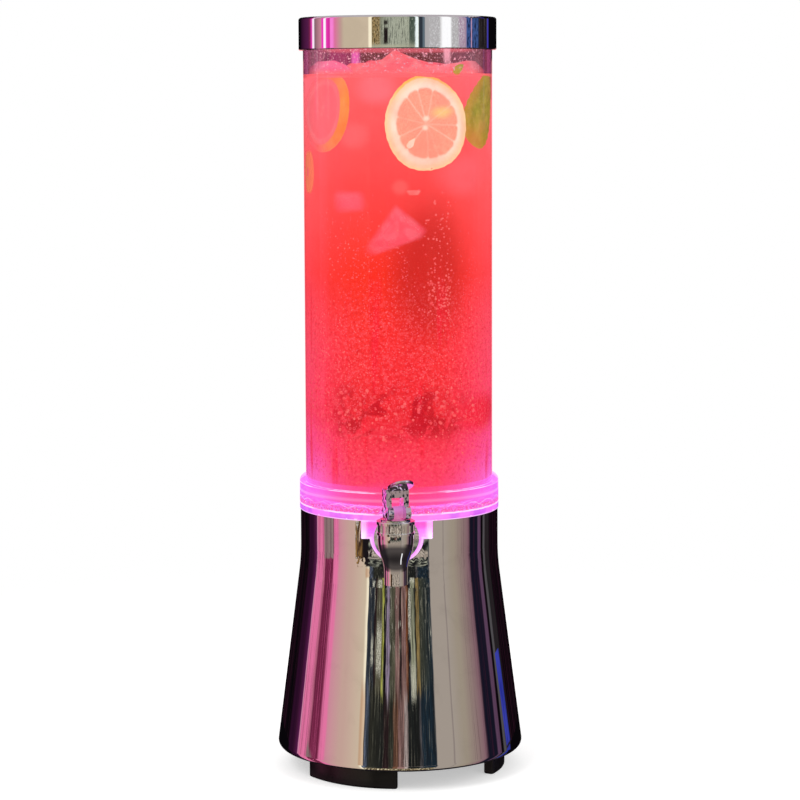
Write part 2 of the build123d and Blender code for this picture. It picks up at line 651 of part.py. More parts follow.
def make_tap_body():
    """Barrel with spout, mounting flange and hollow shank."""
    flange_back = WELL_FRONT + GASKET_THICKNESS
    flange_front = flange_back + FLANGE_THICKNESS
    shank_end = WELL_FRONT - WELL_WALL - INNER_WASHER_THICKNESS - NUT_LENGTH - SHANK_TAIL
    body = barrel_outside()
    body += along_y(SHANK_NECK_R, 0, shank_y(flange_back), SHANK_Z) & post(BARREL_R * 4, SEAT_Z, SHOULDER_Z)
    body += along_y(FLANGE_R, shank_y(flange_front), shank_y(flange_back), SHANK_Z)
    body += along_y(SHANK_R, shank_y(flange_back), shank_y(shank_end), SHANK_Z)
    body -= post(CHAMBER_R, SEAT_Z, SHOULDER_Z + NECK_THREAD_HEIGHT)
    body -= post(SPOUT_BORE_R, SHANK_Z - SPOUT_DROP, SEAT_Z)
    bore = along_y(SHANK_BORE_R, 0, shank_y(shank_end), SHANK_Z)
    return tap_place() * (body - (bore & post(TAP_REACH, SEAT_Z, SHOULDER_Z + NECK_THREAD_HEIGHT)))


def make_outer_washer():
    """Rubber washer between the tap's flange and the well."""
    washer = along_y(GASKET_R, -WELL_FRONT - GASKET_THICKNESS, -WELL_FRONT, SHANK_Z)
    return washer - along_y(SHANK_R, -WELL_FRONT - GASKET_THICKNESS, -WELL_FRONT, SHANK_Z)


def make_inner_washer():
    """Rubber washer inside the well, under the nut."""
    start = WELL_WALL - WELL_FRONT
    end = start + INNER_WASHER_THICKNESS
    return along_y(INNER_WASHER_R, start, end, SHANK_Z) - along_y(SHANK_R, start, end, SHANK_Z)


def make_shank_nut():
    """Hexagon nut on the shank, inside the well."""
    start = WELL_FRONT - WELL_WALL - INNER_WASHER_THICKNESS
    outline = Plane.XZ.offset(start - NUT_LENGTH) * Pos(0, SHANK_Z) * RegularPolygon(
        NUT_FLATS / 2, 6, major_radius=False)
    return extrude(outline, NUT_LENGTH) - along_y(SHANK_R, -start, NUT_LENGTH - start, SHANK_Z)


def make_tap_bonnet():
    """Cap screwed over the barrel's neck, with two rings, finger grooves and a bore for the stem."""
    flange_z = BONNET_Z - BONNET_FLANGE
    foot_z = SHOULDER_Z + BONNET_FOOT
    foot_step = BONNET_FOOT_R - BONNET_R
    thread_r = NECK_THREAD_R + THREAD_CLEARANCE
    seal_z = BONNET_CEILING + SEAL_THICKNESS
    bonnet = turned(
        (STEM_R + RUNNING_CLEARANCE, BONNET_Z), (BONNET_FLANGE_R, BONNET_Z), (BONNET_FLANGE_R, flange_z),
        (BONNET_R, flange_z), (BONNET_R, foot_z), (BONNET_FOOT_R, foot_z), (BONNET_FOOT_R, SHOULDER_Z),
        (thread_r, SHOULDER_Z), (thread_r, BONNET_CEILING),
        (SEAL_R, BONNET_CEILING), (SEAL_R, seal_z), (STEM_R + RUNNING_CLEARANCE, seal_z),
        rounded=[((BONNET_FLANGE_R, BONNET_Z), BONNET_FLANGE / 3), ((BONNET_FOOT_R, foot_z), foot_step / 2)],
    )
    groove = Pos(0, -BONNET_R) * post(GRIP_GROOVE_R, foot_z, flange_z)
    bonnet -= [Rot(0, 0, 360 / GRIP_COUNT * i) * groove for i in range(GRIP_COUNT)]
    return tap_place() * bonnet


def make_stem_seal():
    """Rubber ring in the bonnet's underside, round the stem."""
    seal = ring(SEAL_R, STEM_R + RUNNING_CLEARANCE, BONNET_CEILING, BONNET_CEILING + SEAL_THICKNESS)
    return tap_place() * seal


def make_rocker_washer():
    """Wear washer on the bonnet, on which the lever's heel rocks."""
    return tap_place() * ring(ROCKER_R, STEM_R + RUNNING_CLEARANCE, BONNET_Z, ROCKER_TOP)


def lever_place():
    """Place of the lever's pin, turned the way that the lever points."""
    return tap_place() * Pos(0, 0, PIN_Z) * Rot(0, 0, LEVER_TURN)


def make_valve_stem():
    """Stem with a pinned head on top and a flange and nub for the seat washer below."""
    rod = post(STEM_R, STEM_FLANGE_Z, PIN_Z)
    rod += post(STEM_FLANGE_R, STEM_FLANGE_Z, STEM_FLANGE_Z + STEM_FLANGE)
    rod += post(STEM_NUB_R, SEAT_Z + SEAT_CLEARANCE, STEM_FLANGE_Z)
    head = along_x(HEAD_R, HEAD_WIDTH, 0, 0) + block(HEAD_WIDTH, 2 * STEM_R, -HEAD_R, 0)
    head -= along_x(PIN_R + RUNNING_CLEARANCE, HEAD_WIDTH, 0, 0)
    rod -= Pos(0, 0, PIN_Z) * Rot(0, 0, LEVER_TURN) * along_x(PIN_R + RUNNING_CLEARANCE, HEAD_WIDTH, 0, 0)
    return tap_place() * rod + lever_place() * head


def make_seat_washer():
    """Rubber washer under the stem's flange that closes the outlet."""
    return tap_place() * ring(SEAT_WASHER_R, STEM_NUB_R, SEAT_Z + SEAT_CLEARANCE, STEM_FLANGE_Z)


def spring_point(turn, bottom, pitch):
    """Point on the spring's helix and the helix's direction there, after a number of turns."""
    angle = 2 * math.pi * turn
    point = Vector(SPRING_R * math.cos(angle), SPRING_R * math.sin(angle), bottom + pitch * turn)
    rise = pitch / (2 * math.pi)
    ahead = Vector(-SPRING_R * math.sin(angle), SPRING_R * math.cos(angle), rise).normalized()
    return point, ahead


def biarc(start, start_dir, end, end_dir):
    """Two arcs from start to end that keep both directions and meet without a corner."""
    span = end - start
    both = start_dir + end_dir
    spread = 2 * (1 - start_dir.dot(end_dir))
    along = span.dot(both)
    reach = (math.sqrt(along * along + spread * span.dot(span)) - along) / spread
    middle = (start + end + (start_dir - end_dir) * reach) * 0.5
    first = TangentArc(start, middle, tangent=start_dir)
    return [first, TangentArc(middle, end, tangent=first % 1)]


def make_valve_spring():
    """Return spring: a helix of quarter-turn double arcs from the stem's flange to the bonnet."""
    bottom = STEM_FLANGE_Z + STEM_FLANGE + SPRING_WIRE_R
    top = BONNET_CEILING - SPRING_WIRE_R
    pitch = (top - bottom) / SPRING_TURNS
    print("valve_spring gap between turns", round(pitch - 2 * SPRING_WIRE_R, 2))
    stations = [spring_point(i / 4, bottom, pitch) for i in range(4 * SPRING_TURNS + 1)]
    arcs = [arc for a, b in zip(stations, stations[1:]) for arc in biarc(*a, *b)]
    path = Wire(arcs)
    return tap_place() * sweep(Plane(path @ 0, z_dir=path % 0) * Circle(SPRING_WIRE_R), path)


def lever_leg(side):
    """One leg of the lever: a round heel ahead of the pin and an upright."""
    heel = Pos(-HEEL_REACH / 2, 0) * SlotCenterToCenter(HEEL_REACH, 2 * HEEL_R)
    upright = Pos(0, ARM_RISE / 2) * Rectangle(LEG_DEPTH, ARM_RISE)
    x = side * (FORK_GAP / 2 + LEG_THICKNESS / 2)
    return Pos(x - LEG_THICKNESS / 2, 0) * extrude(Plane.YZ * (heel + upright), LEG_THICKNESS)


def lever_paddle():
    """Oval thumb paddle that rises forwards from the top of the arm."""
    tilt = math.radians(PADDLE_TILT)
    root = Plane(origin=(0, -PADDLE_ROOT, ARM_RISE - PADDLE_THICKNESS), x_dir=(1, 0, 0),
                 z_dir=(0, math.sin(tilt), math.cos(tilt)))
    oval = Pos(0, -PADDLE_LENGTH / 2 + LEG_DEPTH / 4) * Ellipse(PADDLE_WIDTH / 2, PADDLE_LENGTH / 2)
    paddle = extrude(root * oval, PADDLE_THICKNESS)
    rims = paddle.edges().filter_by(GeomType.ELLIPSE)
    return fillet(rims, PADDLE_EDGE_R)


def make_tap_lever():
    """Forked lever with its window, bridge and thumb paddle."""
    bridge = block(FORK_WIDTH, LEG_DEPTH, WINDOW_RISE, ARM_RISE)
    fork = lever_leg(-1) + lever_leg(1) + bridge
    fork = fillet(fork.edges().filter_by(Axis.X).group_by(Axis.Z)[-1], ARM_EDGE_R)
    lever = fork + lever_paddle()
    return lever_place() * (lever - along_x(PIN_R, FORK_WIDTH, 0, 0))


def make_lever_pin():
    """Pin pressed through both legs, on which the stem's head turns."""
    return lever_place() * along_x(PIN_R, FORK_WIDTH, 0, 0)


def make_parts():
    """All pieces by node name."""
    parts = {
        "base_shell": make_base_shell(),
        "bottom_cover": make_bottom_cover(),
        "cover_screws": make_cover_screws(),
        "foot_screws": make_foot_screws(),
        "light_deck": make_light_deck(),
        "deck_screws": make_deck_screws(),
        "lamp_board": make_lamp_board(),
        "lamps": make_lamps(),
        "light_lens": make_light_lens(),
        "battery_holder": make_battery_holder(),
        "batteries": make_batteries(),
        "battery_contacts": make_battery_contacts(),
        "battery_door": make_battery_door(),
        "power_button": make_power_button(),
        "switch_body": make_switch_body(),
        "battery_lead": lead("battery_lead", BATTERY_LEAD),
        "switch_lead": lead("switch_lead", SWITCH_LEAD),
        "vessel_cup": make_vessel_cup(),
        "tap_well": make_tap_well(),
        "vessel_tube": make_vessel_tube(),
        "lid": make_lid(),
        "tap_body": make_tap_body(),
        "outer_washer": make_outer_washer(),
        "inner_washer": make_inner_washer(),
        "shank_nut": make_shank_nut(),
        "tap_bonnet": make_tap_bonnet(),
        "stem_seal": make_stem_seal(),
        "rocker_washer": make_rocker_washer(),
        "valve_stem": make_valve_stem(),
        "seat_washer": make_seat_washer(),
        "valve_spring": make_valve_spring(),
        "tap_lever": make_tap_lever(),
        "lever_pin": make_lever_pin(),
    }
    for name, azimuth in zip(FOOT_NAMES, FOOT_AZIMUTHS):
        parts[name] = make_foot(azimuth)
    return parts


os.makedirs("parts", exist_ok=True)
for node, shape in make_parts().items():
    export_step(shape, f"parts/{node}.step")
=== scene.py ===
import json
import math

import bmesh
import bpy
import numpy as np
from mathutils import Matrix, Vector


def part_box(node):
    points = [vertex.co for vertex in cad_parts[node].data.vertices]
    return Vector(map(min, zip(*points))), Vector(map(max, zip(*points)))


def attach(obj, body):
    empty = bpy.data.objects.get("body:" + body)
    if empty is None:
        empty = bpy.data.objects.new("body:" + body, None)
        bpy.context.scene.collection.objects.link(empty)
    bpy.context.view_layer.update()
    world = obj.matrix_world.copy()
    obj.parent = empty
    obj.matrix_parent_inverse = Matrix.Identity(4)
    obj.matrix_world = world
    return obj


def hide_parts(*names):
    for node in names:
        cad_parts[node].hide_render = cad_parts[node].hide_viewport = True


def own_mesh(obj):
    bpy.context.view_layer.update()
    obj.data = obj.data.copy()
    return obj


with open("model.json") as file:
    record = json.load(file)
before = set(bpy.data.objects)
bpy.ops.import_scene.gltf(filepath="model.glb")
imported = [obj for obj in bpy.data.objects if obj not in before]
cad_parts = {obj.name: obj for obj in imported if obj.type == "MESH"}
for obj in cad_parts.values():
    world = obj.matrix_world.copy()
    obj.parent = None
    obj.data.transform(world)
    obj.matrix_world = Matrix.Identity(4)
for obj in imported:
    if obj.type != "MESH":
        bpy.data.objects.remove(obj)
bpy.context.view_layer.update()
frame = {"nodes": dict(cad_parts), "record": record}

# Drinks tower: chrome base with a light in it, clear vessel with iced drink and lemon, lever tap and lid.
# Metres, in the frame of the solids: +Z up, the tap towards -Y. Azimuths run from -Y towards +X.

MM = 0.001
WELD = 1e-6

# Places and sizes read from the frame
tube_low, tube_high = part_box("vessel_tube")
well_low, well_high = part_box("tap_well")
pin_low, pin_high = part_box("lever_pin")
PADDLE_DEPTH = 5.5 * MM
PADDLE_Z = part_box("tap_lever")[1].z - PADDLE_DEPTH
SKIRT_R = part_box("base_shell")[1].x
RIM_Z = well_high.z
TUBE_R = tube_high.x
TUBE_FLOOR = tube_low.z
TUBE_TOP = tube_high.z
ROUND_R = 16.6 * MM
ROUND_Z = well_low.z + ROUND_R
PIN_Z = (pin_low.z + pin_high.z) / 2

# Sizes of the contents
TUBE_WALL = 3 * MM
FILM_GAP = 0.05 * MM
BORE_R = TUBE_R - TUBE_WALL
DRINK_R = BORE_R - FILM_GAP
DRINK_LEVEL = 444.5 * MM
WET_TOP = DRINK_LEVEL + 1.5 * MM
CORE_R = 42.6 * MM

# Scene colours
BLACK = (0.0, 0.0, 0.0, 1.0)
DUSKY = (0.02, 0.0, 0.02, 1.0)

# Share of the dark ground in the base colour of the lit contents
DARK_SHARE = 0.94

# Drink's shades as display red, green and blue, from the floor up: height in mm, at its middle, at its sides.
# They hold painted light: a violet glow low down by the lamp, and sides paler and pinker than the middle.
DRINK_SHADES = [
    (173, (253, 90, 185), (250, 124, 240)),
    (190, (253, 64, 104), (252, 112, 216)),
    (208, (253, 60, 86), (253, 86, 160)),
    (232, (240, 44, 54), (254, 72, 112)),
    (270, (250, 50, 54), (254, 80, 110)),
    (320, (251, 50, 34), (254, 72, 80)),
    (375, (254, 74, 74), (254, 92, 96)),
    (444, (254, 100, 104), (254, 112, 124)),
]

# Soft cloudy patches and patches of painted shade in the drink: azimuth in degrees, height in mm, half sizes
# in degrees and mm, shade and strength. The pale ones are ice seen through the drink, the dark red ones
# painted shade.
CLOUDS_AND_SHADE = [
    (26, 322, 40, 56, (196, 40, 38), 0.75),
    (-15, 437, 20, 13, (255, 118, 128), 0.8),
    (-34, 408, 17, 11, (254, 108, 112), 0.7),
    (58, 383, 34, 17, (254, 104, 112), 0.7),
    (3, 376, 8, 6, (255, 108, 106), 0.6),
    (85, 231, 45, 15, (248, 36, 56), 0.8),
]


def linear(shade, gain=1.0):
    """Scene colour, with alpha, of a display shade given out of 255."""
    share = np.asarray(shade, float) / 255
    light = np.where(share > 0.04045, ((share + 0.055) / 1.055) ** 2.4, share / 12.92)
    return (*(light * gain).tolist(), 1.0)


# Surfaces


def round_points(azimuth, radius, height):
    """Points at azimuth, radius and height round the tower's axis: x = r sin a, y = -r cos a."""
    azimuth, radius, height = np.broadcast_arrays(azimuth, radius, height)
    return np.stack([radius * np.sin(azimuth), -radius * np.cos(azimuth), height], -1)


def turned(profile, segments=128):
    """Grid of a (radius, height) profile carried round the axis; up the outside, it faces outwards."""
    azimuth = np.linspace(0, 2 * np.pi, segments, endpoint=False)
    return round_points(azimuth[None, :], profile[:, :1], profile[:, 1:2])


def outline(corners, steps=6):
    """Closed outline through (across, up, rounding) corners; each rounding is an arc touching both runs."""
    corners = np.asarray(corners, float)
    points = corners[:, :2]
    stretches = []
    for point, before, after, rounding in zip(points, np.roll(points, 1, 0), np.roll(points, -1, 0),
                                              corners[:, 2]):
        back = (before - point) / np.linalg.norm(before - point)
        ahead = (after - point) / np.linalg.norm(after - point)
        half = 0.5 * np.arccos(np.clip(back @ ahead, -1, 1))
        middle = (back + ahead) / max(np.linalg.norm(back + ahead), WELD)
        centre = point + middle * rounding / np.sin(half)
        start = point + back * rounding / np.tan(half) - centre
        end = point + ahead * rounding / np.tan(half) - centre
        turn = np.arctan2(start[0] * end[1] - start[1] * end[0], start @ end)
        t = np.linspace(0, turn, steps if rounding else 1)[:, None]
        stretches.append(centre + np.cos(t) * start + np.sin(t) * np.array([-start[1], start[0]]))
    return np.concatenate(stretches)


def grid_quads(rows, cols, wrap_rows, wrap_cols):
    """Corner numbers of a grid's quads, joined last to first along rows or columns where it wraps."""
    row = np.arange(rows - (not wrap_rows))[:, None]
    col = np.arange(cols - (not wrap_cols))[None, :]
    row_next = (row + 1) % rows
    col_next = (col + 1) % cols
    corners = [row * cols + col, row * cols + col_next, row_next * cols + col_next, row_next * cols + col]
    return np.stack(corners, -1).reshape(-1, 4)


def make_mesh(name, sheets, marks=None, sharp=40):
    """Mesh of grids, each (points, wraps along rows, wraps along columns), with marks as point attributes.

    Points that fall together, as at a pole, are welded; edges that turn more than sharp degrees stay crisp.
    """
    quads = []
    first = 0
    for points, wrap_rows, wrap_cols in sheets:
        rows, cols = points.shape[:2]
        quads.append(grid_quads(rows, cols, wrap_rows, wrap_cols) + first)
        first += rows * cols
    mesh = bpy.data.meshes.new(name)
    places = np.concatenate([points.reshape(-1, 3) for points, _, _ in sheets])
    mesh.from_pydata(places.tolist(), [], np.concatenate(quads).tolist())
    for label, values in (marks or {}).items():
        data = mesh.attributes.new(label, "FLOAT", "POINT").data
        data.foreach_set("value", np.ravel(values).astype(np.float32))
    shape = bmesh.new()
    shape.from_mesh(mesh)
    bmesh.ops.remove_doubles(shape, verts=shape.verts, dist=WELD)
    shape.to_mesh(mesh)
    shape.free()
    mesh.shade_smooth()
    mesh.set_sharp_from_angle(angle=math.radians(sharp))
    return mesh


def new_object(name, finish, sheets, marks=None, sharp=40):
    """Object made from grids, with its finish."""
    made = bpy.data.objects.new(name, make_mesh(name, sheets, marks, sharp))
    bpy.context.scene.collection.objects.link(made)
    made.data.materials.append(finish)
    return made


def add_piece(name, body, finish, sheets, marks=None, sharp=40):
    """Piece of the tower, riding on a body."""
    piece = new_object(name, finish, sheets, marks, sharp)
    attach(piece, body)
    return piece


def turn_matrix(yaw, pitch, roll):
    """Turn by degrees about the view axis (roll), then X (pitch), then Z (yaw)."""
    a, b, c = np.radians([yaw, pitch, roll])
    about_z = np.array([[np.cos(a), -np.sin(a), 0], [np.sin(a), np.cos(a), 0], [0, 0, 1]])
    about_x = np.array([[1, 0, 0], [0, np.cos(b), -np.sin(b)], [0, np.sin(b), np.cos(b)]])
    about_y = np.array([[np.cos(c), 0, np.sin(c)], [0, 1, 0], [-np.sin(c), 0, np.cos(c)]])
    return about_z @ about_x @ about_y


def blend(low, high, value):
    """Smooth step from 0 at low to 1 at high."""
    share = np.clip((value - low) / (high - low), 0, 1)
    return share * share * (3 - 2 * share)


# Nodes


class Signal:
    """Output of a shader node. Sums, products and comparisons make Math nodes, as if it were a number."""

    def __init__(self, socket):
        self.socket = socket
        self.tree = socket.id_data

    def to(self, socket):
        """Feeds a socket."""
        self.tree.links.new(self.socket, socket)

    def step(self, low, high, start=0.0, end=1.0, kind="SMOOTHSTEP"):
        """Smooth change from start to end as the value goes from low to high, held outside."""
        inputs = {"Value": self, "From Min": low, "From Max": high, "To Min": start, "To Max": end}
        return output(self.tree, "MapRange", inputs, interpolation_type=kind)

    def run(self, low, high, start=0.0, end=1.0):
        """The same in a straight line."""
        return self.step(low, high, start, end, "LINEAR")

    def between(self, low, high, soft):
        """Mask that is 1 from low to high, with soft ends."""
        return self.step(low - soft, low + soft) * self.step(high - soft, high + soft, 1.0, 0.0)

    def sway(self, change, reach):
        """The value moved by noise, at most by half the reach either way."""
        return calc("MULTIPLY_ADD", change - 0.5, reach, self)

    def sine(self):
        """Sine of an angle in degrees."""
        return calc("SINE", self * math.radians(1))

    def __abs__(self):
        return calc("ABSOLUTE", self)

    def __add__(self, other):
        return calc("ADD", self, other)

    def __sub__(self, other):
        return calc("SUBTRACT", self, other)

    def __rsub__(self, other):
        return calc("SUBTRACT", other, self)

    def __mul__(self, other):
        return calc("MULTIPLY", self, other)

    def __truediv__(self, other):
        return calc("DIVIDE", self, other)

    def __pow__(self, other):
        return calc("POWER", self, other)

    def __lt__(self, other):
        return calc("LESS_THAN", self, other)

    def __gt__(self, other):
        return calc("GREATER_THAN", self, other)


def add_node(tree, kind, inputs=None, **settings):
    """Node of a shader tree; an input is a number, a colour or the signal that feeds it."""
    made = tree.nodes.new("ShaderNode" + kind)
    for key, value in settings.items():
        setattr(made, key, value)
    for key, value in (inputs or {}).items():
        if isinstance(value, Signal):
            value.to(made.inputs[key])
        else:
            made.inputs[key].default_value = value
    return made


def output(tree, kind, inputs=None, which=0, **settings):
    """Signal from one output of a new node."""
    return Signal(add_node(tree, kind, inputs, **settings).outputs[which])


def tree_of(*values):
    """Shader tree of the first signal among some values."""
    return next(value.tree for value in values if isinstance(value, Signal))


def calc(operation, *values):
    """Signal from a Math node."""
    return output(tree_of(*values), "Math", dict(enumerate(values)), operation=operation)


def highest(first, *others):
    """Largest of some signals."""
    for other in others:
        first = calc("MAXIMUM", first, other)
    return first


def scene_colour(colour):
    """Colour for a socket: a display shade of three parts is made linear, the rest stays as it is."""
    return linear(colour) if isinstance(colour, tuple) and len(colour) == 3 else colour


def mix(share, first, second):
    """Colour between two, each a signal, a display shade of three parts or a scene colour of four."""
    inputs = {0: share, 6: scene_colour(first), 7: scene_colour(second)}
    return output(tree_of(share, first, second), "Mix", inputs, 2, data_type="RGBA")


def paint(colour, *layers):
    """Colour with (mask, colour) layers laid over it in turn."""
    for mask, shade in layers:
        colour = mix(mask, colour, shade)
    return colour


def ramp(share, *stops):
    """Colour along (position, colour) stops."""
    made = add_node(share.tree, "ValToRGB", {"Fac": share})
    elements = made.color_ramp.elements
    while len(elements) < len(stops):
        elements.new(0.5)
    for element, (position, colour) in zip(elements, stops):
        element.position = position
        element.color = scene_colour(colour)
    return Signal(made.outputs[0])


def noise(place, scale, detail=3.0, rough=0.55, distortion=0.0):
    """Even noise from 0 to 1 at a number of grains a metre."""
    inputs = {"Vector": place, "Scale": scale, "Detail": detail, "Roughness": rough, "Distortion": distortion}
    return output(place.tree, "TexNoise", inputs)


def bump(height, distance):
    """Normal bent by a height, of a depth in metres."""
    return output(height.tree, "Bump", {"Height": height, "Distance": distance, "Strength": 1.0})


def object_place(tree):
    """Object coordinates."""
    return output(tree, "TexCoord", which="Object")


def stretch(place, up):
    """Place with its height scaled, so that noise is drawn out upwards."""
    return output(place.tree, "Mapping", {"Vector": place, "Scale": (1.0, 1.0, up)})


def split(place):
    """X, Y and Z of a place."""
    return [Signal(socket) for socket in add_node(place.tree, "SeparateXYZ", {0: place}).outputs]


def round_place(tree):
    """(azimuth in degrees, radius, height) of the Object coordinates round the tower's axis."""
    x, y, height = split(object_place(tree))
    azimuth = calc("ARCTAN2", x, y * -1.0) * math.degrees(1)
    return azimuth, calc("SQRT", x ** 2 + y ** 2), height


def mark(tree, name):
    """Mark that a mesh carries on its points."""
    return output(tree, "Attribute", which="Fac", attribute_name=name)


def new_group(name, inputs, outputs):
    """Empty shader node group from {socket: kind}; gives it, its inputs as signals and its output sockets."""
    group = bpy.data.node_groups.new(name, "ShaderNodeTree")
    for side, sockets in (("INPUT", inputs), ("OUTPUT", outputs)):
        for socket, kind in sockets.items():
            group.interface.new_socket(socket, in_out=side, socket_type="NodeSocket" + kind)
    given = group.nodes.new("NodeGroupInput").outputs
    return group, [Signal(given[socket]) for socket in inputs], group.nodes.new("NodeGroupOutput").inputs


def use_group(tree, group, **inputs):
    """Outputs of a group placed in a material, by name."""
    made = add_node(tree, "Group", inputs, node_tree=group)
    return {socket.name: Signal(socket) for socket in made.outputs}


def new_finish(name, **constants):
    """Material with one Principled shader and its constants; gives material, tree and shader sockets."""
    material = bpy.data.materials.new(name)
    material.use_nodes = True
    sockets = material.node_tree.nodes["Principled BSDF"].inputs
    for socket, value in constants.items():
        sockets[socket.replace("_", " ")].default_value = value
    return material, material.node_tree, sockets


def lit_finish(name, roughness, shine):
    """Finish that gives light of its own: painted glow on the tower's lit parts, an even lift on the floor.
    """
    return new_finish(name, Roughness=roughness, Specular_IOR_Level=shine, Emission_Strength=1.0)


def feed(sockets, **signals):
    """Feeds a shader's sockets, named with underscores for spaces."""
    for name, signal in signals.items():
        signal.to(sockets[name.replace("_", " ")])


def feed_lit(sockets, colour, dark, ground=BLACK, **signals):
    """Feeds a shader with painted glow: the colour in its glow and, darkened by a share of the ground, in its
    base.
    """
    feed(sockets, Base_Color=mix(dark, colour, ground), Emission_Color=colour, **signals)


# Shared effects


def make_touch_marks():
    """Group: soft smudges and fine hairline rubs on a polished surface, as two masks."""
    group, (place, size), put = new_group("touch_marks", {"Place": "Vector", "Size": "Float"},
                                          {"Smudge": "Float", "Rub": "Float"})
    noise(place, size, detail=4.0, distortion=0.6).step(0.48, 0.72).to(put["Smudge"])
    noise(stretch(place, 0.06), size * 30.0, detail=2.0).step(0.62, 0.78).to(put["Rub"])
    return group


def make_moulded_grain():
    """Group: fine moulding grain as a height, and soft mottling of the shade as a mask."""
    group, (place, grain), put = new_group("moulded_grain", {"Place": "Vector", "Grain": "Float"},
                                           {"Height": "Float", "Mottle": "Float"})
    noise(place, grain, detail=2.0).to(put["Height"])
    noise(place, grain * 0.05, detail=4.0).step(0.35, 0.7).to(put["Mottle"])
    return group


def shade_stops(column, gain=1.0):
    """Ramp stops of one column of the drink's shades over its depth."""
    bottom, top = DRINK_SHADES[0][0], DRINK_SHADES[-1][0]
    return [((row[0] - bottom) / (top - bottom), linear(row[column], gain)) for row in DRINK_SHADES]


def soft_spot(azimuth, height, middle, level, wide, tall, strength):
    """Mask of one soft oval cloud or patch of painted shade, strongest at its middle."""
    across = (azimuth - middle) / wide
    up = (height - level * MM) / (tall * MM)
    return calc("SQRT", across ** 2 + up ** 2).step(0.35, 1.05, strength, 0.0)


def make_drink_tone():
    """Group: the drink's colour by height and by how far round it lies, with cloudy patches, froth and red
    runs;
    its violet glow low down, paler sides and darker patches are painted light and shade.
    """
    inputs = {"Azimuth": "Float", "Height": "Float", "Place": "Vector"}
    outputs = {"Colour": "Color", "Cloud": "Float"}
    group, (azimuth, height, place), put = new_group("drink_tone", inputs, outputs)
    round_by = abs(azimuth)
    lifted = height.sway(noise(place, 26.0, detail=2.0), 0.014)
    share = lifted.run(DRINK_SHADES[0][0] * MM, DRINK_SHADES[-1][0] * MM)
    clouds_and_shade = [(soft_spot(azimuth, height, *spot, strength), shade) for *spot, shade, strength in CLOUDS_AND_SHADE]
    frothy = height.step(0.176, 0.200) * height.step(0.285, 0.335, 1.0, 0.0)
    runs = noise(stretch(place, 0.07), 120.0, detail=2.0)
    grain = noise(place, 560.0, detail=2.0)
    patches = noise(place, 85.0, distortion=0.6)
    band = height.step(0.214, 0.224) * height.step(0.240, 0.258, 1.0, 0.0)
    cloud = noise(place, 60.0, detail=4.0, distortion=0.4)
    tone = paint(
        ramp(share, *shade_stops(1)),
        # Paler, pinker sides, brightest at the very edge: painted light.
        (round_by.step(28, 110), ramp(share, *shade_stops(2, 1.1))),
        (round_by.step(85, 125), ramp(share, *shade_stops(2, 1.6))),
        *clouds_and_shade,
        (runs.step(0.58, 0.68, 0.0, 0.7) * frothy, (250, 36, 58)),
        (grain.step(0.5, 0.3, 0.0, 0.5) * frothy, (212, 32, 42)),
        (grain.step(0.5, 0.7, 0.0, 0.5) * frothy, (255, 98, 108)),
        # Darker patches in the bubble band: painted shade.
        (patches.step(0.48, 0.58) * band * round_by.step(35, 70, 0.85, 0.0), (190, 22, 36)),
        (cloud.step(0.3, 0.6, 0.1, 0.0), (214, 44, 44)),
    )
    tone.to(put["Colour"])
    cloud.to(put["Cloud"])
    return group


touch_marks = make_touch_marks()
moulded_grain = make_moulded_grain()
drink_tone = make_drink_tone()


# Finishes


def chrome_plate(name="chrome_plate", tint=(0.86, 0.86, 0.87), wave=0.0):
    """Mirror chrome: bright, with faint smudges and hairline rubs in its gloss, wavy where it is moulded."""
    material, tree, sockets = new_finish(name, Metallic=1.0)
    place = object_place(tree)
    marks = use_group(tree, touch_marks, Place=place, Size=45.0)
    dulled = tuple(0.93 * part for part in tint)
    feed(sockets, Base_Color=mix(marks["Smudge"], (*tint, 1.0), (*dulled, 1.0)),
         Roughness=marks["Rub"] * 0.04 + marks["Smudge"].run(0.0, 1.0, 0.015, 0.05))
    if wave:
        low = split(place)[2].step(PADDLE_Z - 2 * MM, PADDLE_Z, 1.0, 0.15)
        feed(sockets, Normal=bump((noise(place, 240.0, detail=1.0) - 0.5) * low, wave))
    return material


def lit_stem():
    """White stem with painted glow for the collar's light behind it: lilac, rosier lower down and mottled."""
    material, tree, sockets = new_finish("lit_stem", Emission_Strength=0.8)
    place = object_place(tree)
    mottle = use_group(tree, moulded_grain, Place=place, Grain=1500.0)["Mottle"]
    lilac = mix(split(place)[2].step(PIN_Z - 5 * MM, PIN_Z + 3 * MM), (196, 66, 118), (196, 112, 186))
    feed_lit(sockets, mix(mottle * 0.5, lilac, (226, 160, 214)), 0.6, (0.02, 0.01, 0.02, 1.0),
             Roughness=mottle.step(0.0, 1.0, 0.2, 0.35))
    return material


def clear_acrylic():
    """Polished clear tube. Its inner wall is unseen where the drink wets it, as the two bend light alike.

    Above the drink its flanks take a painted mauve tint for the glow of the lit mist inside.
    """
    material, tree, sockets = new_finish("clear_acrylic", Transmission_Weight=1.0, IOR=1.42,
                                         Specular_Tint=(0.35, 0.33, 0.34, 1.0))
    marks = use_group(tree, touch_marks, Place=object_place(tree), Size=30.0)
    azimuth, radius, height = round_place(tree)
    wetted = (radius < BORE_R + 0.2 * TUBE_WALL) * (height < WET_TOP)
    # Painted mauve tint on the flanks above the drink, for the lit mist's glow.
    painted_mist_tint = abs(azimuth.sine()).step(0.8, 0.97) * (height > WET_TOP)
    feed(sockets, Alpha=1.0 - wetted, Base_Color=mix(painted_mist_tint, (0.99, 0.985, 0.99, 1.0), (176, 74, 120)),
         Roughness=marks["Rub"].step(0.0, 1.0, 0.0, 0.04))
    return material


def glow_lines(height, width, *levels):
    """Mask of thin bright level lines, each (height, brightness), for painted highlights."""
    lines = [abs(height - level).step(0.3 * width, width, brightness, 0.0) for level, brightness in levels]
    return highest(*lines)


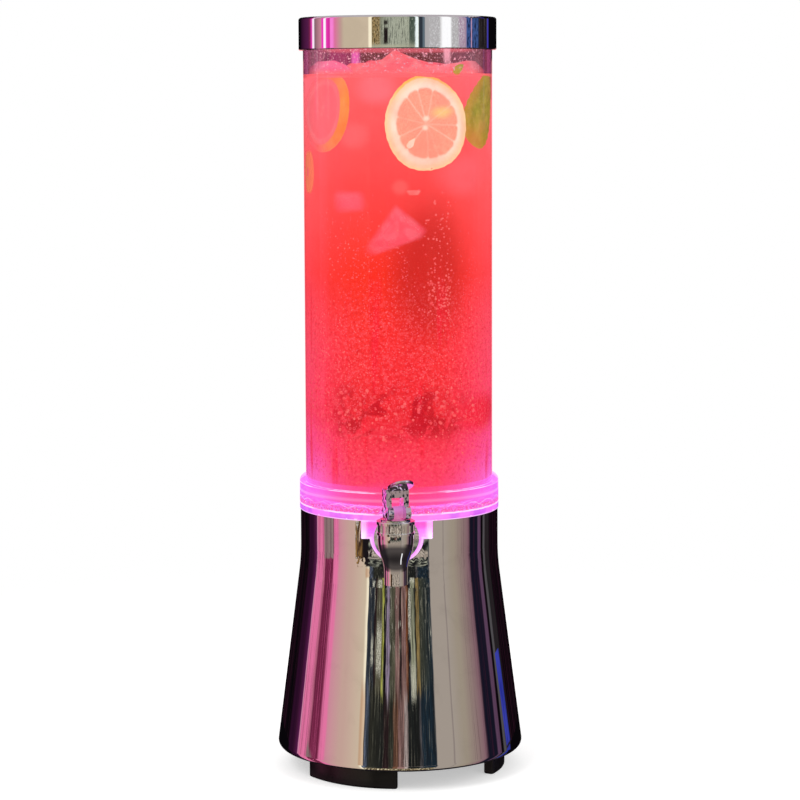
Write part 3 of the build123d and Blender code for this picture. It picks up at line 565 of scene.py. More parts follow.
def lit_collar():
    """Clear collar with a painted glow for light from below: violet at the sides, the drink's pink in front.

    Its shoulder is clear above a thin painted highlight line, with a soft painted line under that. Lower down
    come a scalloped seam of glue in a bright painted line, a row of dark and pink specks, a broken white
    painted highlight line and the violet lip with its painted glints.
    """
    material, tree, sockets = lit_finish("lit_collar", 0.08, 0.6)
    azimuth, _, height = round_place(tree)
    place = object_place(tree)
    turn = abs(azimuth).run(0, 180)
    rise = height - RIM_Z
    fine = noise(place, 640.0, detail=2.0)
    coarse = noise(place, 260.0)
    uneven = noise(stretch(place, 0.2), 70.0, detail=2.0)
    # Painted glow: the drink's pink in front, turning violet towards the sides.
    upper = ramp(turn, (0.02, (255, 60, 104)), (0.14, (254, 74, 150)), (0.26, (246, 96, 210)),
                 (0.42, (226, 104, 234)))
    lip = ramp(turn, (0.02, (244, 128, 216)), (0.4, (236, 112, 246)))
    streaked = mix(uneven.step(0.45, 0.65, 0.0, 0.6), lip, (176, 74, 222))
    specks = paint(mix(fine.step(0.44, 0.56), (255, 76, 156), (240, 122, 236)),
                   (fine.step(0.58, 0.64, 0.0, 0.8), (176, 36, 122)),
                   (fine.step(0.36, 0.30, 0.0, 0.9), (255, 220, 250)))
    in_lip = rise.step(3.9 * MM, 4.3 * MM, 1.0, 0.0)
    in_specks = rise.sway(coarse, 2.4 * MM).step(7.2 * MM, 7.8 * MM, 1.0, 0.0)
    banded = highest(in_specks, in_lip)
    glow = mix(banded, upper, mix(in_lip, mix(0.85, upper, specks), streaked))
    scallop = abs((azimuth * 13.0).sway(uneven, 91.7).sine())
    seam_z = scallop * (1.9 * MM) + coarse * (1.8 * MM) + 6.6 * MM
    # Painted highlights: thin and soft bright lines, a broken white line, the glue seam's bright line and
    # glints on the lip.
    seam = glow_lines(rise - seam_z, 0.45 * MM, (0.0, 0.55))
    thin = glow_lines(rise, 0.45 * MM, (17.5 * MM, 0.95), (0.25 * MM, 0.7))
    soft = glow_lines(rise, 1.3 * MM, (12.6 * MM, 0.28))
    white = glow_lines(rise.sway(coarse, 0.8 * MM), 0.75 * MM, (4.2 * MM, 1.0))
    broken = white * uneven.step(0.36, 0.52, 0.3, 1.0)
    patchy = highest(thin, seam) * uneven.step(0.35, 0.6, 0.35, 1.0)
    glints = coarse.step(0.62, 0.67) * rise.step(1.4 * MM, 0.6 * MM)
    bright = highest(patchy, soft, broken, glints)
    milky = turn.step(0.08, 0.42) * rise.step(17.6 * MM, 18.4 * MM, 0.85, 0.35)
    feed_lit(sockets, mix(bright, glow, (255, 214, 254)), 0.85, DUSKY,
             Alpha=highest(bright, banded, milky).step(0.0, 1.0, 0.25, 0.92))
    return material


def lit_well():
    """Clear well with a painted glow for the light behind it: painted highlights pale at its outer walls and
    along its round edge, pink at its middle.
    """
    material, tree, sockets = lit_finish("lit_well", 0.08, 0.6)
    x, _, height = split(object_place(tree))
    down = height - ROUND_Z
    reach = calc("SQRT", x ** 2 + down ** 2)
    wall = abs(x).step(17.0 * MM, 20.5 * MM) * height.step(RIM_Z - 9 * MM, RIM_Z - 2 * MM, 1.0, 0.35)
    edge = reach.step(ROUND_R - 2.2 * MM, ROUND_R - 0.2 * MM) * (down < 0.0)
    patches = noise(object_place(tree), 160.0, detail=2.0)
    body = mix(patches.step(0.4, 0.65), (226, 104, 238), (240, 140, 248))
    # Painted highlights: pale on the outer walls and along the round edge.
    pale = highest(wall, edge * 0.5)
    upper = height.step(RIM_Z - 7 * MM, RIM_Z, 0.0, 0.75)
    colour = paint(body, (upper, (250, 84, 176)), (pale, (252, 230, 255)))
    feed_lit(sockets, colour, 0.85, DUSKY, Alpha=pale.step(0.0, 1.0, 0.75, 0.95))
    return material


def moulded(name, colour, roughness, grain=1500.0, shine=0.5):
    """Moulded plastic or rubber: slightly mottled, with a fine grain."""
    material, tree, sockets = new_finish(name, Specular_IOR_Level=shine)
    found = use_group(tree, moulded_grain, Place=object_place(tree), Grain=grain)
    lighter = tuple(min(1.0, 1.25 * part + 0.004) for part in colour)
    feed(sockets, Base_Color=mix(found["Mottle"], (*colour, 1.0), (*lighter, 1.0)),
         Roughness=found["Mottle"].run(0.0, 1.0, roughness, roughness + 0.12),
         Normal=bump(found["Height"], 0.03 * MM))
    return material


def drawn_metal(name, colour, roughness):
    """Plain metal with smudges and hairline rubs."""
    material, tree, sockets = new_finish(name, Metallic=1.0)
    marks = use_group(tree, touch_marks, Place=object_place(tree), Size=160.0)
    dulled = tuple(0.8 * part for part in colour)
    feed(sockets, Base_Color=mix(marks["Smudge"], (*colour, 1.0), (*dulled, 1.0)),
         Roughness=marks["Rub"].run(0.0, 1.0, roughness, roughness + 0.2))
    return material


def glowing(name, colour, glow, strength, grain):
    """Lamp or frosted lens: a milky surface that gives light, unevenly."""
    material, tree, sockets = new_finish(name, Roughness=0.4, Emission_Strength=strength)
    found = use_group(tree, moulded_grain, Place=object_place(tree), Grain=grain)
    bright = linear(glow)
    light = mix(found["Mottle"], bright, tuple(min(1.0, 1.3 * part) for part in bright))
    feed(sockets, Base_Color=mix(found["Mottle"], colour, light), Emission_Color=light,
         Normal=bump(found["Height"], 0.02 * MM))
    return material


def place_tone(tree):
    """Drink tone at a surface's own place."""
    azimuth, _, height = round_place(tree)
    return use_group(tree, drink_tone, Azimuth=azimuth, Height=height, Place=object_place(tree))


def drink_core():
    """Deep part of the drink: turbid and lit through, shown as a painted glow in its own colour."""
    material, tree, sockets = lit_finish("drink_core", 0.6, 0.0)
    feed_lit(sockets, place_tone(tree)["Colour"], DARK_SHARE)
    return material


def fizz_layer(place, scale, chance):
    """(distance from the middle, kept or not) of bubbles spread one to a cell and kept by a chance."""
    cells = add_node(place.tree, "TexVoronoi", {"Vector": place, "Scale": scale}, feature="F1").outputs
    lot = output(place.tree, "SeparateColor", {0: Signal(cells["Color"])})
    return Signal(cells["Distance"]), lot < chance


def drink_haze():
    """Outer part of the drink, in painted glow: a thin haze, with swarms of fine bubbles and some larger
    ringed ones, their rims painted bright.
    """
    material, tree, sockets = lit_finish("drink_haze", 0.3, 0.0)
    found = place_tone(tree)
    place = object_place(tree)
    height = split(place)[2]
    crowd = noise(stretch(place, 0.3), 48.0)
    rising = height.step(0.176, 0.215, 0.3, 1.0) * height.step(0.31, 0.385, 1.0, 0.0)
    away, kept = fizz_layer(place, 640.0, crowd.step(0.36, 0.62, 0.08, 0.9) * rising)
    ringed = height.step(0.214, 0.226) * height.step(0.25, 0.27, 0.45, 0.0)
    wide, held = fizz_layer(place, 300.0, ringed)
    # Ringed bubbles: a painted bright rim round a paler middle.
    ring = abs(wide - 0.27).step(0.02, 0.09, 0.75, 0.0)
    disc = wide.step(0.2, 0.3, 0.25, 0.0)
    fizz = highest(away.step(0.16, 0.38, 0.8, 0.0) * kept, highest(ring, disc) * held)
    veil = found["Cloud"].step(0.35, 0.7, 0.08, 0.24)
    feed_lit(sockets, mix(fizz, found["Colour"], (255, 98, 112)), DARK_SHARE, Alpha=highest(veil, fizz))
    return material


def blush_ice(name, middle, pale, alpha, soft, foot=None):
    """Ice in the drink, in painted glow: pink through, paler in its cloudy parts, thinning out near its rim
    by the piece's mark.

    A lump that stands out of the drink takes the drink's own shade, the foot, where it meets the surface.
    """
    material, tree, sockets = lit_finish(name, 0.2, 0.15)
    place = object_place(tree)
    colour = mix(noise(place, 95.0, distortion=0.5).step(0.38, 0.64), middle, pale)
    if foot:
        standing = split(place)[2].step(DRINK_LEVEL + 1 * MM, DRINK_LEVEL + 6 * MM)
        colour = mix(standing, foot, colour)
    feed_lit(sockets, colour, DARK_SHARE, Alpha=mark(tree, "along").step(soft, 1.0, alpha, 0.0))
    return material


def lemon_flesh():
    """Lemon slice lit through, in painted glow: pulp with fibres, pale pith and membranes and the rind, by
    the piece's marks.

    The marks veil and fog say how much of the drink's own pink lies over the flesh and over the rind, top
    where the rind turns golden, glow where the pulp takes a painted golden glow, deep how orange the rind is
    and fade how far the slice is lost.
    """
    material, tree, sockets = lit_finish("lemon_flesh", 0.35, 0.1)
    has = {name: mark(tree, name) for name in LEMON_MARKS}
    fibres = noise(output(tree, "CombineXYZ", {0: has["along"] * 2.5, 1: has["turn"]}), 46.0)
    patches = noise(object_place(tree), 55.0, detail=2.0).step(0.35, 0.65)
    flesh = mix(fibres.step(0.32, 0.68), (255, 148, 122), (255, 180, 152))
    # Painted golden glow on the pulp, by the glow mark.
    warm = mix(has["glow"], flesh, (255, 216, 128))
    pith = mix(patches, (255, 234, 212), (255, 220, 194))
    peach = mix(has["along"].step(0.82, 0.96, 0.0, 0.6), pith, (255, 206, 152))
    pale = mix(has["top"], (255, 218, 166), (254, 190, 92))
    skin = mix(has["deep"], pale, mix(patches, (253, 132, 48), (255, 160, 72)))
    misted = mix(has["veil"], mix(has["pulp"], peach, warm), (255, 98, 114))
    fogged = mix(has["fog"], skin, (255, 104, 112))
    feed_lit(sockets, mix(has["rind"], misted, fogged), DARK_SHARE, Alpha=1.0 - has["fade"],
             Normal=bump(fibres, 0.3 * MM))
    return material


def mint_green():
    """Mint leaf with a painted glow of the pink light: olive, browner at its foot and edge, with paler veins,
    by its marks.
    """
    material, tree, sockets = lit_finish("mint_green", 0.4, 0.2)
    patches = noise(object_place(tree), 200.0)
    leaf = mix(patches.step(0.35, 0.65), (126, 138, 30), (160, 158, 52))
    edged = mark(tree, "edge").step(0.4, 1.0, 0.0, 0.5)
    brown = highest(mark(tree, "along").step(0.35, 0.05, 0.0, 0.6), edged)
    colour = paint(leaf, (brown, (200, 134, 40)), (mark(tree, "vein") * 0.25, (200, 180, 84)))
    feed_lit(sockets, colour, 0.9, Normal=bump(patches, 0.2 * MM))
    return material


def mist_and_painted_shade():
    """Mist and splashes inside the tube above the drink, in painted glow: thin in front with drops, dark
    mauve painted shade elsewhere, with a painted reflection under the lid and a painted highlight streak.
    """
    material, tree, sockets = lit_finish("mist_and_painted_shade", 0.25, 0.2)
    azimuth, _, height = round_place(tree)
    place = object_place(tree)
    turn = abs(azimuth)
    runs = noise(stretch(place, 0.12), 90.0)
    drop = noise(place, 640.0, detail=2.0).step(0.61, 0.67)
    # Painted highlight: a pale upright streak near the top.
    shine = azimuth.between(31, 35.5, 1.2) * height.step(0.449, 0.457, 0.0, 0.5)
    colour = paint(
        # Mauve on the left, browner on the right and at the back: painted shade; the dark runs are splashes.
        mix(azimuth.sine().step(-0.6, 0.6), (156, 50, 94), (130, 64, 80)),
        (runs.step(0.38, 0.62, 0.0, 0.6), (92, 40, 54)),
        (turn.step(138, 160, 0.0, 0.8), (104, 48, 44)),
        (azimuth.between(-152, -146, 1.5) * 0.85, (250, 104, 190)),
        # Painted reflection: a salmon band just under the lid.
        (height.step(0.4595, 0.4615) * turn.step(108.9, 131.8, 0.0, 0.75), (226, 100, 114)),
        # Drops, and the painted highlight streak, in pale pink.
        (highest(drop, shine > 0.02), (255, 170, 188)),
    )
    thin = turn.step(45, 85, 0.04, 0.94) * height.step(0.447, 0.4535, 0.25, 1.0)
    feed_lit(sockets, colour, 0.9, Alpha=highest(thin, drop * 0.5, shine))
    return material


def fizz_bubble():
    """Bubble in the drink, in painted glow: pale pink, brighter in some than in others."""
    material, tree, sockets = lit_finish("fizz_bubble", 0.1, 0.0)
    change = noise(object_place(tree), 300.0, detail=1.0)
    colour = mix(change.step(0.35, 0.65), (255, 84, 88), (255, 112, 112))
    feed_lit(sockets, colour, DARK_SHARE, Alpha=change.step(0.3, 0.7, 0.4, 0.85))
    return material


# Contents of the vessel

LEMON_MARKS = ("pulp", "rind", "along", "turn", "veil", "fog", "top", "glow", "deep", "fade")


def ripple(x, y):
    """Height of the drink's surface over its level: a few crossed waves."""
    return (0.35 * np.sin(210 * x + 60 * y) + 0.3 * np.sin(150 * y - 90 * x + 1.2)) * MM


def filled(radius, bottom, top, rounding, meniscus=0.0):
    """Closed filling of the tube: a rounded outline turned about the axis, with a rippled top."""
    profile = outline([(0, bottom, 0), (radius, bottom, rounding), (radius, top + meniscus, 0),
                       (radius - 2 * MM, top, 0.5 * MM), (radius / 2, top, 0), (0, top, 0)])
    grid = turned(profile)
    near_top = blend(top - 4 * MM, top - 1 * MM, grid[..., 2])
    inward = blend(radius, radius - 3 * MM, np.hypot(grid[..., 0], grid[..., 1]))
    grid[..., 2] += near_top * inward * ripple(grid[..., 0], grid[..., 1])
    return [(grid, False, True)]


def make_drink():
    """The drink: a turbid core inside a hazy body that fills the tube to its wall."""
    add_piece("drink_core", "vessel", drink_core(),
              filled(CORE_R, TUBE_FLOOR + 3 * MM, DRINK_LEVEL - 0.6 * MM, 6 * MM))
    add_piece("drink_body", "vessel", drink_haze(),
              filled(DRINK_R, TUBE_FLOOR + FILM_GAP, DRINK_LEVEL, 1 * MM, meniscus=1.4 * MM))


def citrus_slice(centre, half_sizes, thickness, turn, segments, looks, seed):
    """Sheet and marks of a lemon slice.

    Rows run from the front's middle over the rounded rim to the back's middle, columns round the slice. The
    pulp swells between membranes at uneven angles, its outer ends are rounded, and the share of the radius
    decides pulp, pith and rind. Looks are (pink over the flesh, over the rind, how much that leans to the
    left, how far the edge is lost, share of the radius where the rind starts).
    """
    draw = np.random.default_rng(seed)
    veil, fog, lean, lost, rind_from = looks
    half_width, half_height = half_sizes
    share = np.linspace(0, 1, 56)
    rim = np.linspace(0, np.pi, 13)[1:-1]
    along = np.concatenate([share, np.ones(len(rim)), share[::-1]])[:, None]
    lift = np.concatenate([np.ones(len(share)), np.cos(rim), -np.ones(len(share))])[:, None]
    swell = np.concatenate([np.zeros(len(share)), np.sin(rim), np.zeros(len(share))])[:, None]
    theta = -np.linspace(0, 2 * np.pi, 300, endpoint=False)[None, :]
    across, up = along * np.cos(theta), along * np.sin(theta)
    walls = (np.arange(segments) + draw.uniform(-0.28, 0.28, segments)) * 2 * np.pi / segments
    apart = np.abs((theta[..., None] - walls + np.pi) % (2 * np.pi) - np.pi)
    away = along * apart.min(-1)
    paleness = draw.uniform(0.10, 0.36, segments)[apart.argmin(-1)]
    limit = 0.80 - 0.045 * np.exp(-away / 0.03) + 0.02 * np.cos(theta) + 0.01 * np.sin(2 * theta + seed)
    membrane = 1 - paleness * blend(0.032, 0.004, away)
    core = np.minimum(np.hypot((across - 0.01) / 0.07, (up - 0.12) / 0.05),
                      np.hypot((across + 0.04) / 0.06, (up + 0.08) / 0.05))
    pulp = membrane * blend(limit, limit - 0.06, along) * blend(0.3, 1.7, core) * (swell == 0)
    whole = np.ones_like(along * theta)
    rind = np.maximum(blend(rind_from, rind_from + 0.03, along), np.minimum(swell * 3, 1.0)) * whole
    wobble = (1 + 0.014 * np.sin(3 * theta + seed) + 0.008 * np.sin(5 * theta + 2 * seed)
              + 0.003 * np.sin(23 * theta) + 0.003 * np.sin(37 * theta + seed))
    reach = (along + swell * thickness / 2 / half_height) * wobble
    depth = lift * (thickness / 2 + 0.3 * MM * pulp * np.sin(np.pi * np.minimum(along / 0.8, 1)))
    local = np.stack([half_width * reach * np.cos(theta), -depth * np.ones_like(theta),
                      half_height * reach * np.sin(theta)], -1)
    points = local @ turn_matrix(*turn).T + np.asarray(centre)
    turned_left = np.clip(1 - lean * (1 + np.cos(theta)), 0, 1)
    # Painted golden glow on the pulp of a slice with no pink over it.
    glow = 0.75 * (veil == 0) * blend(1.5, 0.1, np.hypot((across - 0.42) / 0.26, (up - 0.22) / 0.13))
    marks = {
        "pulp": pulp, "rind": rind, "along": along * whole, "turn": -theta / (2 * np.pi) * whole,
        "veil": veil * whole, "fog": np.clip(fog - lean * np.cos(theta), 0, 1) * whole,
        "top": blend(0.45, 0.95, up), "glow": glow, "deep": (veil > 0) * whole,
        "fade": lost * blend(0.8, 1.0, along) * turned_left * whole,
    }
    return (points, False, True), marks


def make_lemon():
    """Three lemon slices against the tube's wall, and a pip on the front one."""
    flesh = lemon_flesh()
    slices = [
        ("lemon_front", (17.4, -43.6, 414.9), (24.8, 28.4), 1.8, (22, 0, -6), 11,
         (0.0, 0.0, 0.0, 0.0, 0.965), 3),
        ("lemon_left", (-39.0, -22.5, 422.3), (20.5, 22.0), 6.0, (-64, -8, 0), 10,
         (0.9, 0.75, 0.7, 0.9, 0.93), 5),
        ("lemon_low", (-48.6, -9.0, 384.6), (6.5, 14.5), 3.0, (-79, 0, 0), 9,
         (0.95, 0.55, 0.0, 1.0, 0.2), 8),
    ]
    for name, centre, half_sizes, thickness, *rest in slices:
        sheet, marks = citrus_slice(np.array(centre) * MM, np.array(half_sizes) * MM, thickness * MM, *rest)
        add_piece(name, "vessel", flesh, [sheet], marks)
    corners = [(13.2, 406.8, 0.4), (11.8, 401.4, 1.6), (9.2, 399.6, 1.3), (6.6, 401.2, 1.3),
               (8.6, 404.4, 1.5)]
    sheet, marks = soft_lump(corners, 51.2 * MM, 2.4 * MM)
    plain = {name: np.zeros(marks["along"].shape) for name in LEMON_MARKS}
    add_piece("lemon_pip", "vessel", flesh, [sheet], {**plain, **marks})


def wall_leaf(foot, tip, half_width, radius, bow):
    """Sheet and marks of a leaf that lies along the tube's wall: a toothed outline on both sides of a rib.

    Foot and tip are (azimuth in degrees, height in mm). Rows run from foot to tip, columns once round the
    section, which is thickest at the rib; the outline is laid out flat and then wrapped on the radius.
    """
    start, end = (np.array([np.radians(azimuth) * radius, height * MM]) for azimuth, height in (foot, tip))
    rib = (end - start) / np.linalg.norm(end - start)
    side = np.array([-rib[1], rib[0]])
    s = np.linspace(0, 1, 81)[:, None]
    around = np.linspace(0, 2 * np.pi, 48, endpoint=False)[None, :]
    across = np.cos(around)
    teeth = 1 + 0.06 * np.abs(np.sin(10 * np.pi * s))
    width = half_width * np.sin(np.pi * s ** 0.7) ** 0.6 * teeth
    flat = start + s[..., None] * (end - start) + (width * across)[..., None] * side
    veins = np.abs(np.sin(np.pi * (7 * s - 2.2 * np.abs(across))))
    thick = (0.4 + 0.2 * (1 - veins)) * MM * np.sin(around) * np.sin(np.pi * s) ** 0.5
    lift = thick - bow * across ** 2 * np.sin(np.pi * s)
    points = round_points(flat[..., 0] / radius, radius + lift, flat[..., 1])
    whole = np.ones_like(lift)
    vein = np.maximum(blend(0.3, 0.05, veins), blend(0.10, 0.03, np.abs(across))) * whole
    return (points, False, True), {"vein": vein, "along": s * whole, "edge": np.maximum(across, 0) * whole}


def make_mint():
    """Mint leaf against the wall by the front slice, and a small one floating at the top."""
    green = mint_green()
    leaves = [
        ("mint_leaf", (60.5, 401.0), (86, 447.5), 16.0, 50.6, 1.2),
        ("mint_top", (39, 446.0), (47, 451.4), 2.6, 55.9, 0.2),
    ]
    for name, foot, tip, half_width, radius, bow in leaves:
        sheet, marks = wall_leaf(foot, tip, half_width * MM, radius * MM, bow * MM)
        marks["along"] = marks["along"] * min(1.0, half_width / 10)
        add_piece(name, "vessel", green, [sheet], marks)


def soft_lump(corners, radius, thickness):
    """Sheet and mark of a lens-like lump round the axis, from (azimuth, height, rounding) corners.

    Corners run clockwise as seen from outside, in degrees and mm. Rows run from the front's middle to the rim
    and on to the back's middle; the thickness falls to nothing at the rim as a half circle does.
    """
    laid = [(np.radians(azimuth) * radius, height * MM, rounding * MM)
            for azimuth, height, rounding in corners]
    rim = outline(laid, 8)
    middle = rim.mean(0)
    share = np.sin(np.linspace(0, np.pi / 2, 14))
    along = np.concatenate([share, share[-2::-1]])[:, None]
    lift = np.concatenate([np.sqrt(1 - share ** 2), -np.sqrt(1 - share[-2::-1] ** 2)])[:, None]
    flat = middle + along[..., None] * (rim - middle)
    points = round_points(flat[..., 0] / radius, radius + thickness / 2 * lift, flat[..., 1])
    return (points, False, True), {"along": along * np.ones(len(rim))}


def ball(steps, segments, power=1.0):
    """Grid of a unit ball from pole to pole, each sine and cosine raised to a power, which squares it off."""
    up = np.linspace(-np.pi / 2, np.pi / 2, steps)[:, None]
    around = np.linspace(0, 2 * np.pi, segments, endpoint=False)[None, :]
    waves = [np.cos(up), np.sin(up), np.cos(around), np.sin(around)]
    level, rise, across, ahead = (np.sign(wave) * np.abs(wave) ** power for wave in waves)
    return np.stack([level * across, level * ahead, rise * np.ones_like(around)], -1)


def ice_block(centre, half_sizes, turn, power, seed):
    """Sheet of an ice lump: a squared-off ball, softly dented."""
    unit = ball(25, 40, power)
    dents = 1 + 0.06 * np.sin(3 * unit[..., 0] + seed) * np.sin(2.5 * unit[..., 2] + 2 * seed)
    local = unit * np.asarray(half_sizes) * dents[..., None]
    return local @ turn_matrix(*turn).T + np.asarray(centre), False, True


def make_ice():
    """Ice: a heap that stands out of the drink at the top, a wedge and a chip seen through it lower down."""
    lumps = [
        ((10, 20, 441), (15, 13, 10), (35, 15, 20), 0.4), ((-25, 18, 437), (14, 13, 9), (60, 25, 40), 0.45),
        ((30, 14, 441), (12, 14, 9), (80, 10, 25), 0.45), ((-8, -14, 442), (13, 12, 9), (25, 20, 10), 0.42),
    ]
    heap = [ice_block(np.array(centre) * MM, np.array(sizes) * MM, turn, power, seed)
            for seed, (centre, sizes, turn, power) in enumerate(lumps)]
    still = [np.zeros(points.shape[:2]).ravel() for points, _, _ in heap]
    add_piece("ice_heap", "vessel", blush_ice("ice_heap", (206, 58, 84), (246, 92, 112), 1.0, 0.9), heap,
              {"along": np.concatenate(still)})
    surface = (254, 104, 112)
    fronts = [
        ("ice_left", [(-98, 446.0, 2), (-80, 450.4, 3), (-60, 453.8, 5), (-42, 454.3, 5), (-33, 451.6, 3),
                      (-25, 446, 2), (-31, 443.5, 2), (-97, 443.5, 1)],
         55.2, 2.4, (250, 88, 134), (255, 112, 150), 1.0, 0.95, surface),
        ("ice_peak", [(-42, 448, 2), (-32, 452.2, 2), (-20, 452.8, 2), (-9.3, 454.6, 1), (-0.7, 460.6, 1),
                      (12.9, 455.2, 3), (26, 452, 2), (38, 449.5, 2), (44, 446, 2), (34, 443.5, 2),
                      (-36, 443.5, 2)],
         52.0, 6.0, (255, 98, 112), (255, 124, 132), 1.0, 0.96, surface),
        ("ice_right", [(21, 446, 1), (30, 451.4, 3), (43, 452.6, 3), (52, 454, 2), (62, 453.8, 3),
                       (72, 450.6, 3), (96, 447.6, 1), (95, 444, 1), (27, 444, 1)],
         54.2, 2.0, (250, 102, 118), (255, 128, 140), 1.0, 0.95, surface),
        ("ice_wedge", [(-0.7, 367.5, 2), (23.5, 349.5, 3), (19, 344.0, 3), (-33, 327.0, 5)],
         50.0, 7.0, (255, 82, 100), (255, 104, 120), 0.95, 0.55),
        ("ice_block", [(-51, 375, 5), (-20.6, 375, 5), (-19, 360, 5), (-49, 358, 6)],
         48.0, 7.0, (255, 92, 112), (255, 104, 122), 0.7, 0.25),
        ("ice_chip", [(5.5, 374.6, 0.8), (17.5, 374.6, 0.8), (15, 371, 2.2), (8, 371, 2.2)],
         53.0, 2.0, (255, 98, 96), (255, 128, 124), 0.8, 0.6),
    ]
    for name, corners, radius, thickness, *looks in fronts:
        sheet, marks = soft_lump(corners, radius * MM, thickness * MM)
        add_piece(name, "vessel", blush_ice(name, *looks), [sheet], marks)


def make_bubbles():
    """Bubbles on the wall: small balls of a few faces at seeded places, in swarms that thin out upwards.

    Each swarm is spread evenly about an azimuth and falls off as a bell curve about a height.
    """
    draw = np.random.default_rng(11)
    swarms = [
        (1000, 0, 180, 262, 26, 0.25, 0.50), (420, 5, 60, 270, 24, 0.30, 0.55),
        (90, 28, 8, 311, 9, 0.45, 0.80), (60, 27, 10, 350, 16, 0.40, 0.75),
        (70, -22, 28, 330, 14, 0.40, 0.60), (70, 8, 48, 236, 9, 0.70, 1.20),
    ]
    azimuth = np.concatenate([mid + half * draw.uniform(-1, 1, count) for count, mid, half, *_ in swarms])
    height = np.concatenate([draw.normal(mid, fall, count) for count, _, _, mid, fall, *_ in swarms])
    radius = np.concatenate([draw.uniform(least, most, count) for count, *_, least, most in swarms]) * MM
    centres = round_points(np.radians(azimuth), DRINK_R - radius - 0.1 * MM, height.clip(190, 400) * MM)
    unit = ball(5, 6)
    sheets = [(centre + size * unit, False, True) for centre, size in zip(centres, radius)]
    add_piece("bubbles", "vessel", fizz_bubble(), sheets, sharp=180)


def make_mist():
    """Mist and splashes above the drink, with painted shade: a thin closed film on the tube's inside."""
    inner, outer = DRINK_R - 0.3 * MM, DRINK_R
    bottom, top = DRINK_LEVEL + 1.6 * MM, TUBE_TOP - 4 * MM
    profile = np.array([(outer, bottom), (outer, top), (inner, top), (inner, bottom)])
    add_piece("mist_and_shade_film", "vessel", mist_and_painted_shade(), [(turned(profile), True, True)])


# Spring inside the tap

SPRING_WIRE_R = 0.45 * MM
SPRING_TURNS = 5


def make_spring():
    """Return spring: a round wire along a helix, with closed ends."""
    low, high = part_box("valve_spring")
    axis = (low + high) / 2
    coil_r = (high.x - low.x) / 2 - SPRING_WIRE_R
    steps = 24 * SPRING_TURNS
    turn = np.linspace(0, 2 * np.pi * SPRING_TURNS, steps + 1)
    height = np.linspace(low.z + SPRING_WIRE_R, high.z - SPRING_WIRE_R, steps + 1)
    outward = np.stack([np.cos(turn), np.sin(turn), 0 * turn], -1)
    path = np.array([axis.x, axis.y, 0.0]) + coil_r * outward + height[:, None] * np.array([0.0, 0.0, 1.0])
    ahead = np.gradient(path, axis=0)
    ahead /= np.linalg.norm(ahead, axis=1, keepdims=True)
    upward = np.cross(ahead, outward)
    around = np.linspace(0, 2 * np.pi, 10, endpoint=False)[None, :, None]
    ring = np.cos(around) * outward[:, None] + np.sin(around) * upward[:, None]
    wire = path[:, None] + SPRING_WIRE_R * ring
    ends = np.broadcast_to(path[[0, -1], None], (2, around.size, 3))
    sheet = np.concatenate([ends[:1], wire, ends[1:]])
    piece = add_piece("return_spring", "vessel", bpy.data.materials["spring_steel"], [(sheet, False, True)])
    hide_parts("valve_spring")
    lift = next(joint for joint in frame["record"]["behaviour"]["joints"] if joint["name"] == "stem_lift")
    1 - lift["range_m"][1] / (high.z - low.z)
    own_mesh(piece)


# Solids of the frame that show as they are


def dress(node, finish):
    """Gives a CAD node its finish."""
    piece = frame["nodes"][node]
    if not piece.material_slots:
        piece.data.materials.append(finish)
    for slot in piece.material_slots:
        slot.material = finish


def dress_solids():
    """Finishes of the CAD nodes, by the record's slots, with the lit pieces of the vessel on their own."""
    finishes = {
        "chrome_plate": chrome_plate(),
        "clear_acrylic": clear_acrylic(),
        "foot_rubber": moulded("foot_rubber", (0.005, 0.004, 0.005), 0.3, grain=900.0, shine=0.35),
        "black_plastic": moulded("black_plastic", (0.02, 0.02, 0.021), 0.45),
        "white_plastic": moulded("white_plastic", (0.78, 0.78, 0.76), 0.4),
        "frosted_lens": glowing("frosted_lens", (236, 220, 250), (235, 120, 250), 1.2, 900.0),
        "board_green": moulded("board_green", (0.02, 0.17, 0.07), 0.35, grain=2500.0),
        "lamp_face": glowing("lamp_face", (250, 230, 255), (255, 170, 255), 2.0, 2000.0),
        "cell_can": drawn_metal("cell_can", (0.55, 0.56, 0.58), 0.3),
        "spring_steel": drawn_metal("spring_steel", (0.62, 0.62, 0.63), 0.22),
        "screw_steel": drawn_metal("screw_steel", (0.55, 0.55, 0.56), 0.28),
        "button_grey": moulded("button_grey", (0.26, 0.26, 0.28), 0.4),
        "lead_cover": moulded("lead_cover", (0.04, 0.04, 0.04), 0.5),
        "seal_rubber": moulded("seal_rubber", (0.72, 0.72, 0.70), 0.5),
        "stem_steel": drawn_metal("stem_steel", (0.70, 0.70, 0.71), 0.15),
    }
    for row in frame["record"]["subparts"]:
        dress(row["node"], finishes[row["material_slot"]])
    dress("vessel_cup", lit_collar())
    dress("tap_well", lit_well())
    dress("valve_stem", lit_stem())
    # Chrome tinted violet: a painted reflection of the violet glow round the tap.
    violet = chrome_plate("chrome_painted_violet", (0.78, 0.68, 0.80), wave=0.6 * MM)
    for node in ("tap_lever", "lever_pin"):
        dress(node, violet)


# Stage, light and camera

FLOOR_R = 0.75
CARD_R = 2.0
CARD_LOW = -1.0
CARD_HIGH = 1.8
CARD_GLOW = 1.15
FOOT_CARD = (0.081, 0.20)
STRIPE_R = 0.2
STRIPE_SIDES = (100.9, 108.6)
STRIPE_ENDS = (0.002, 0.067)

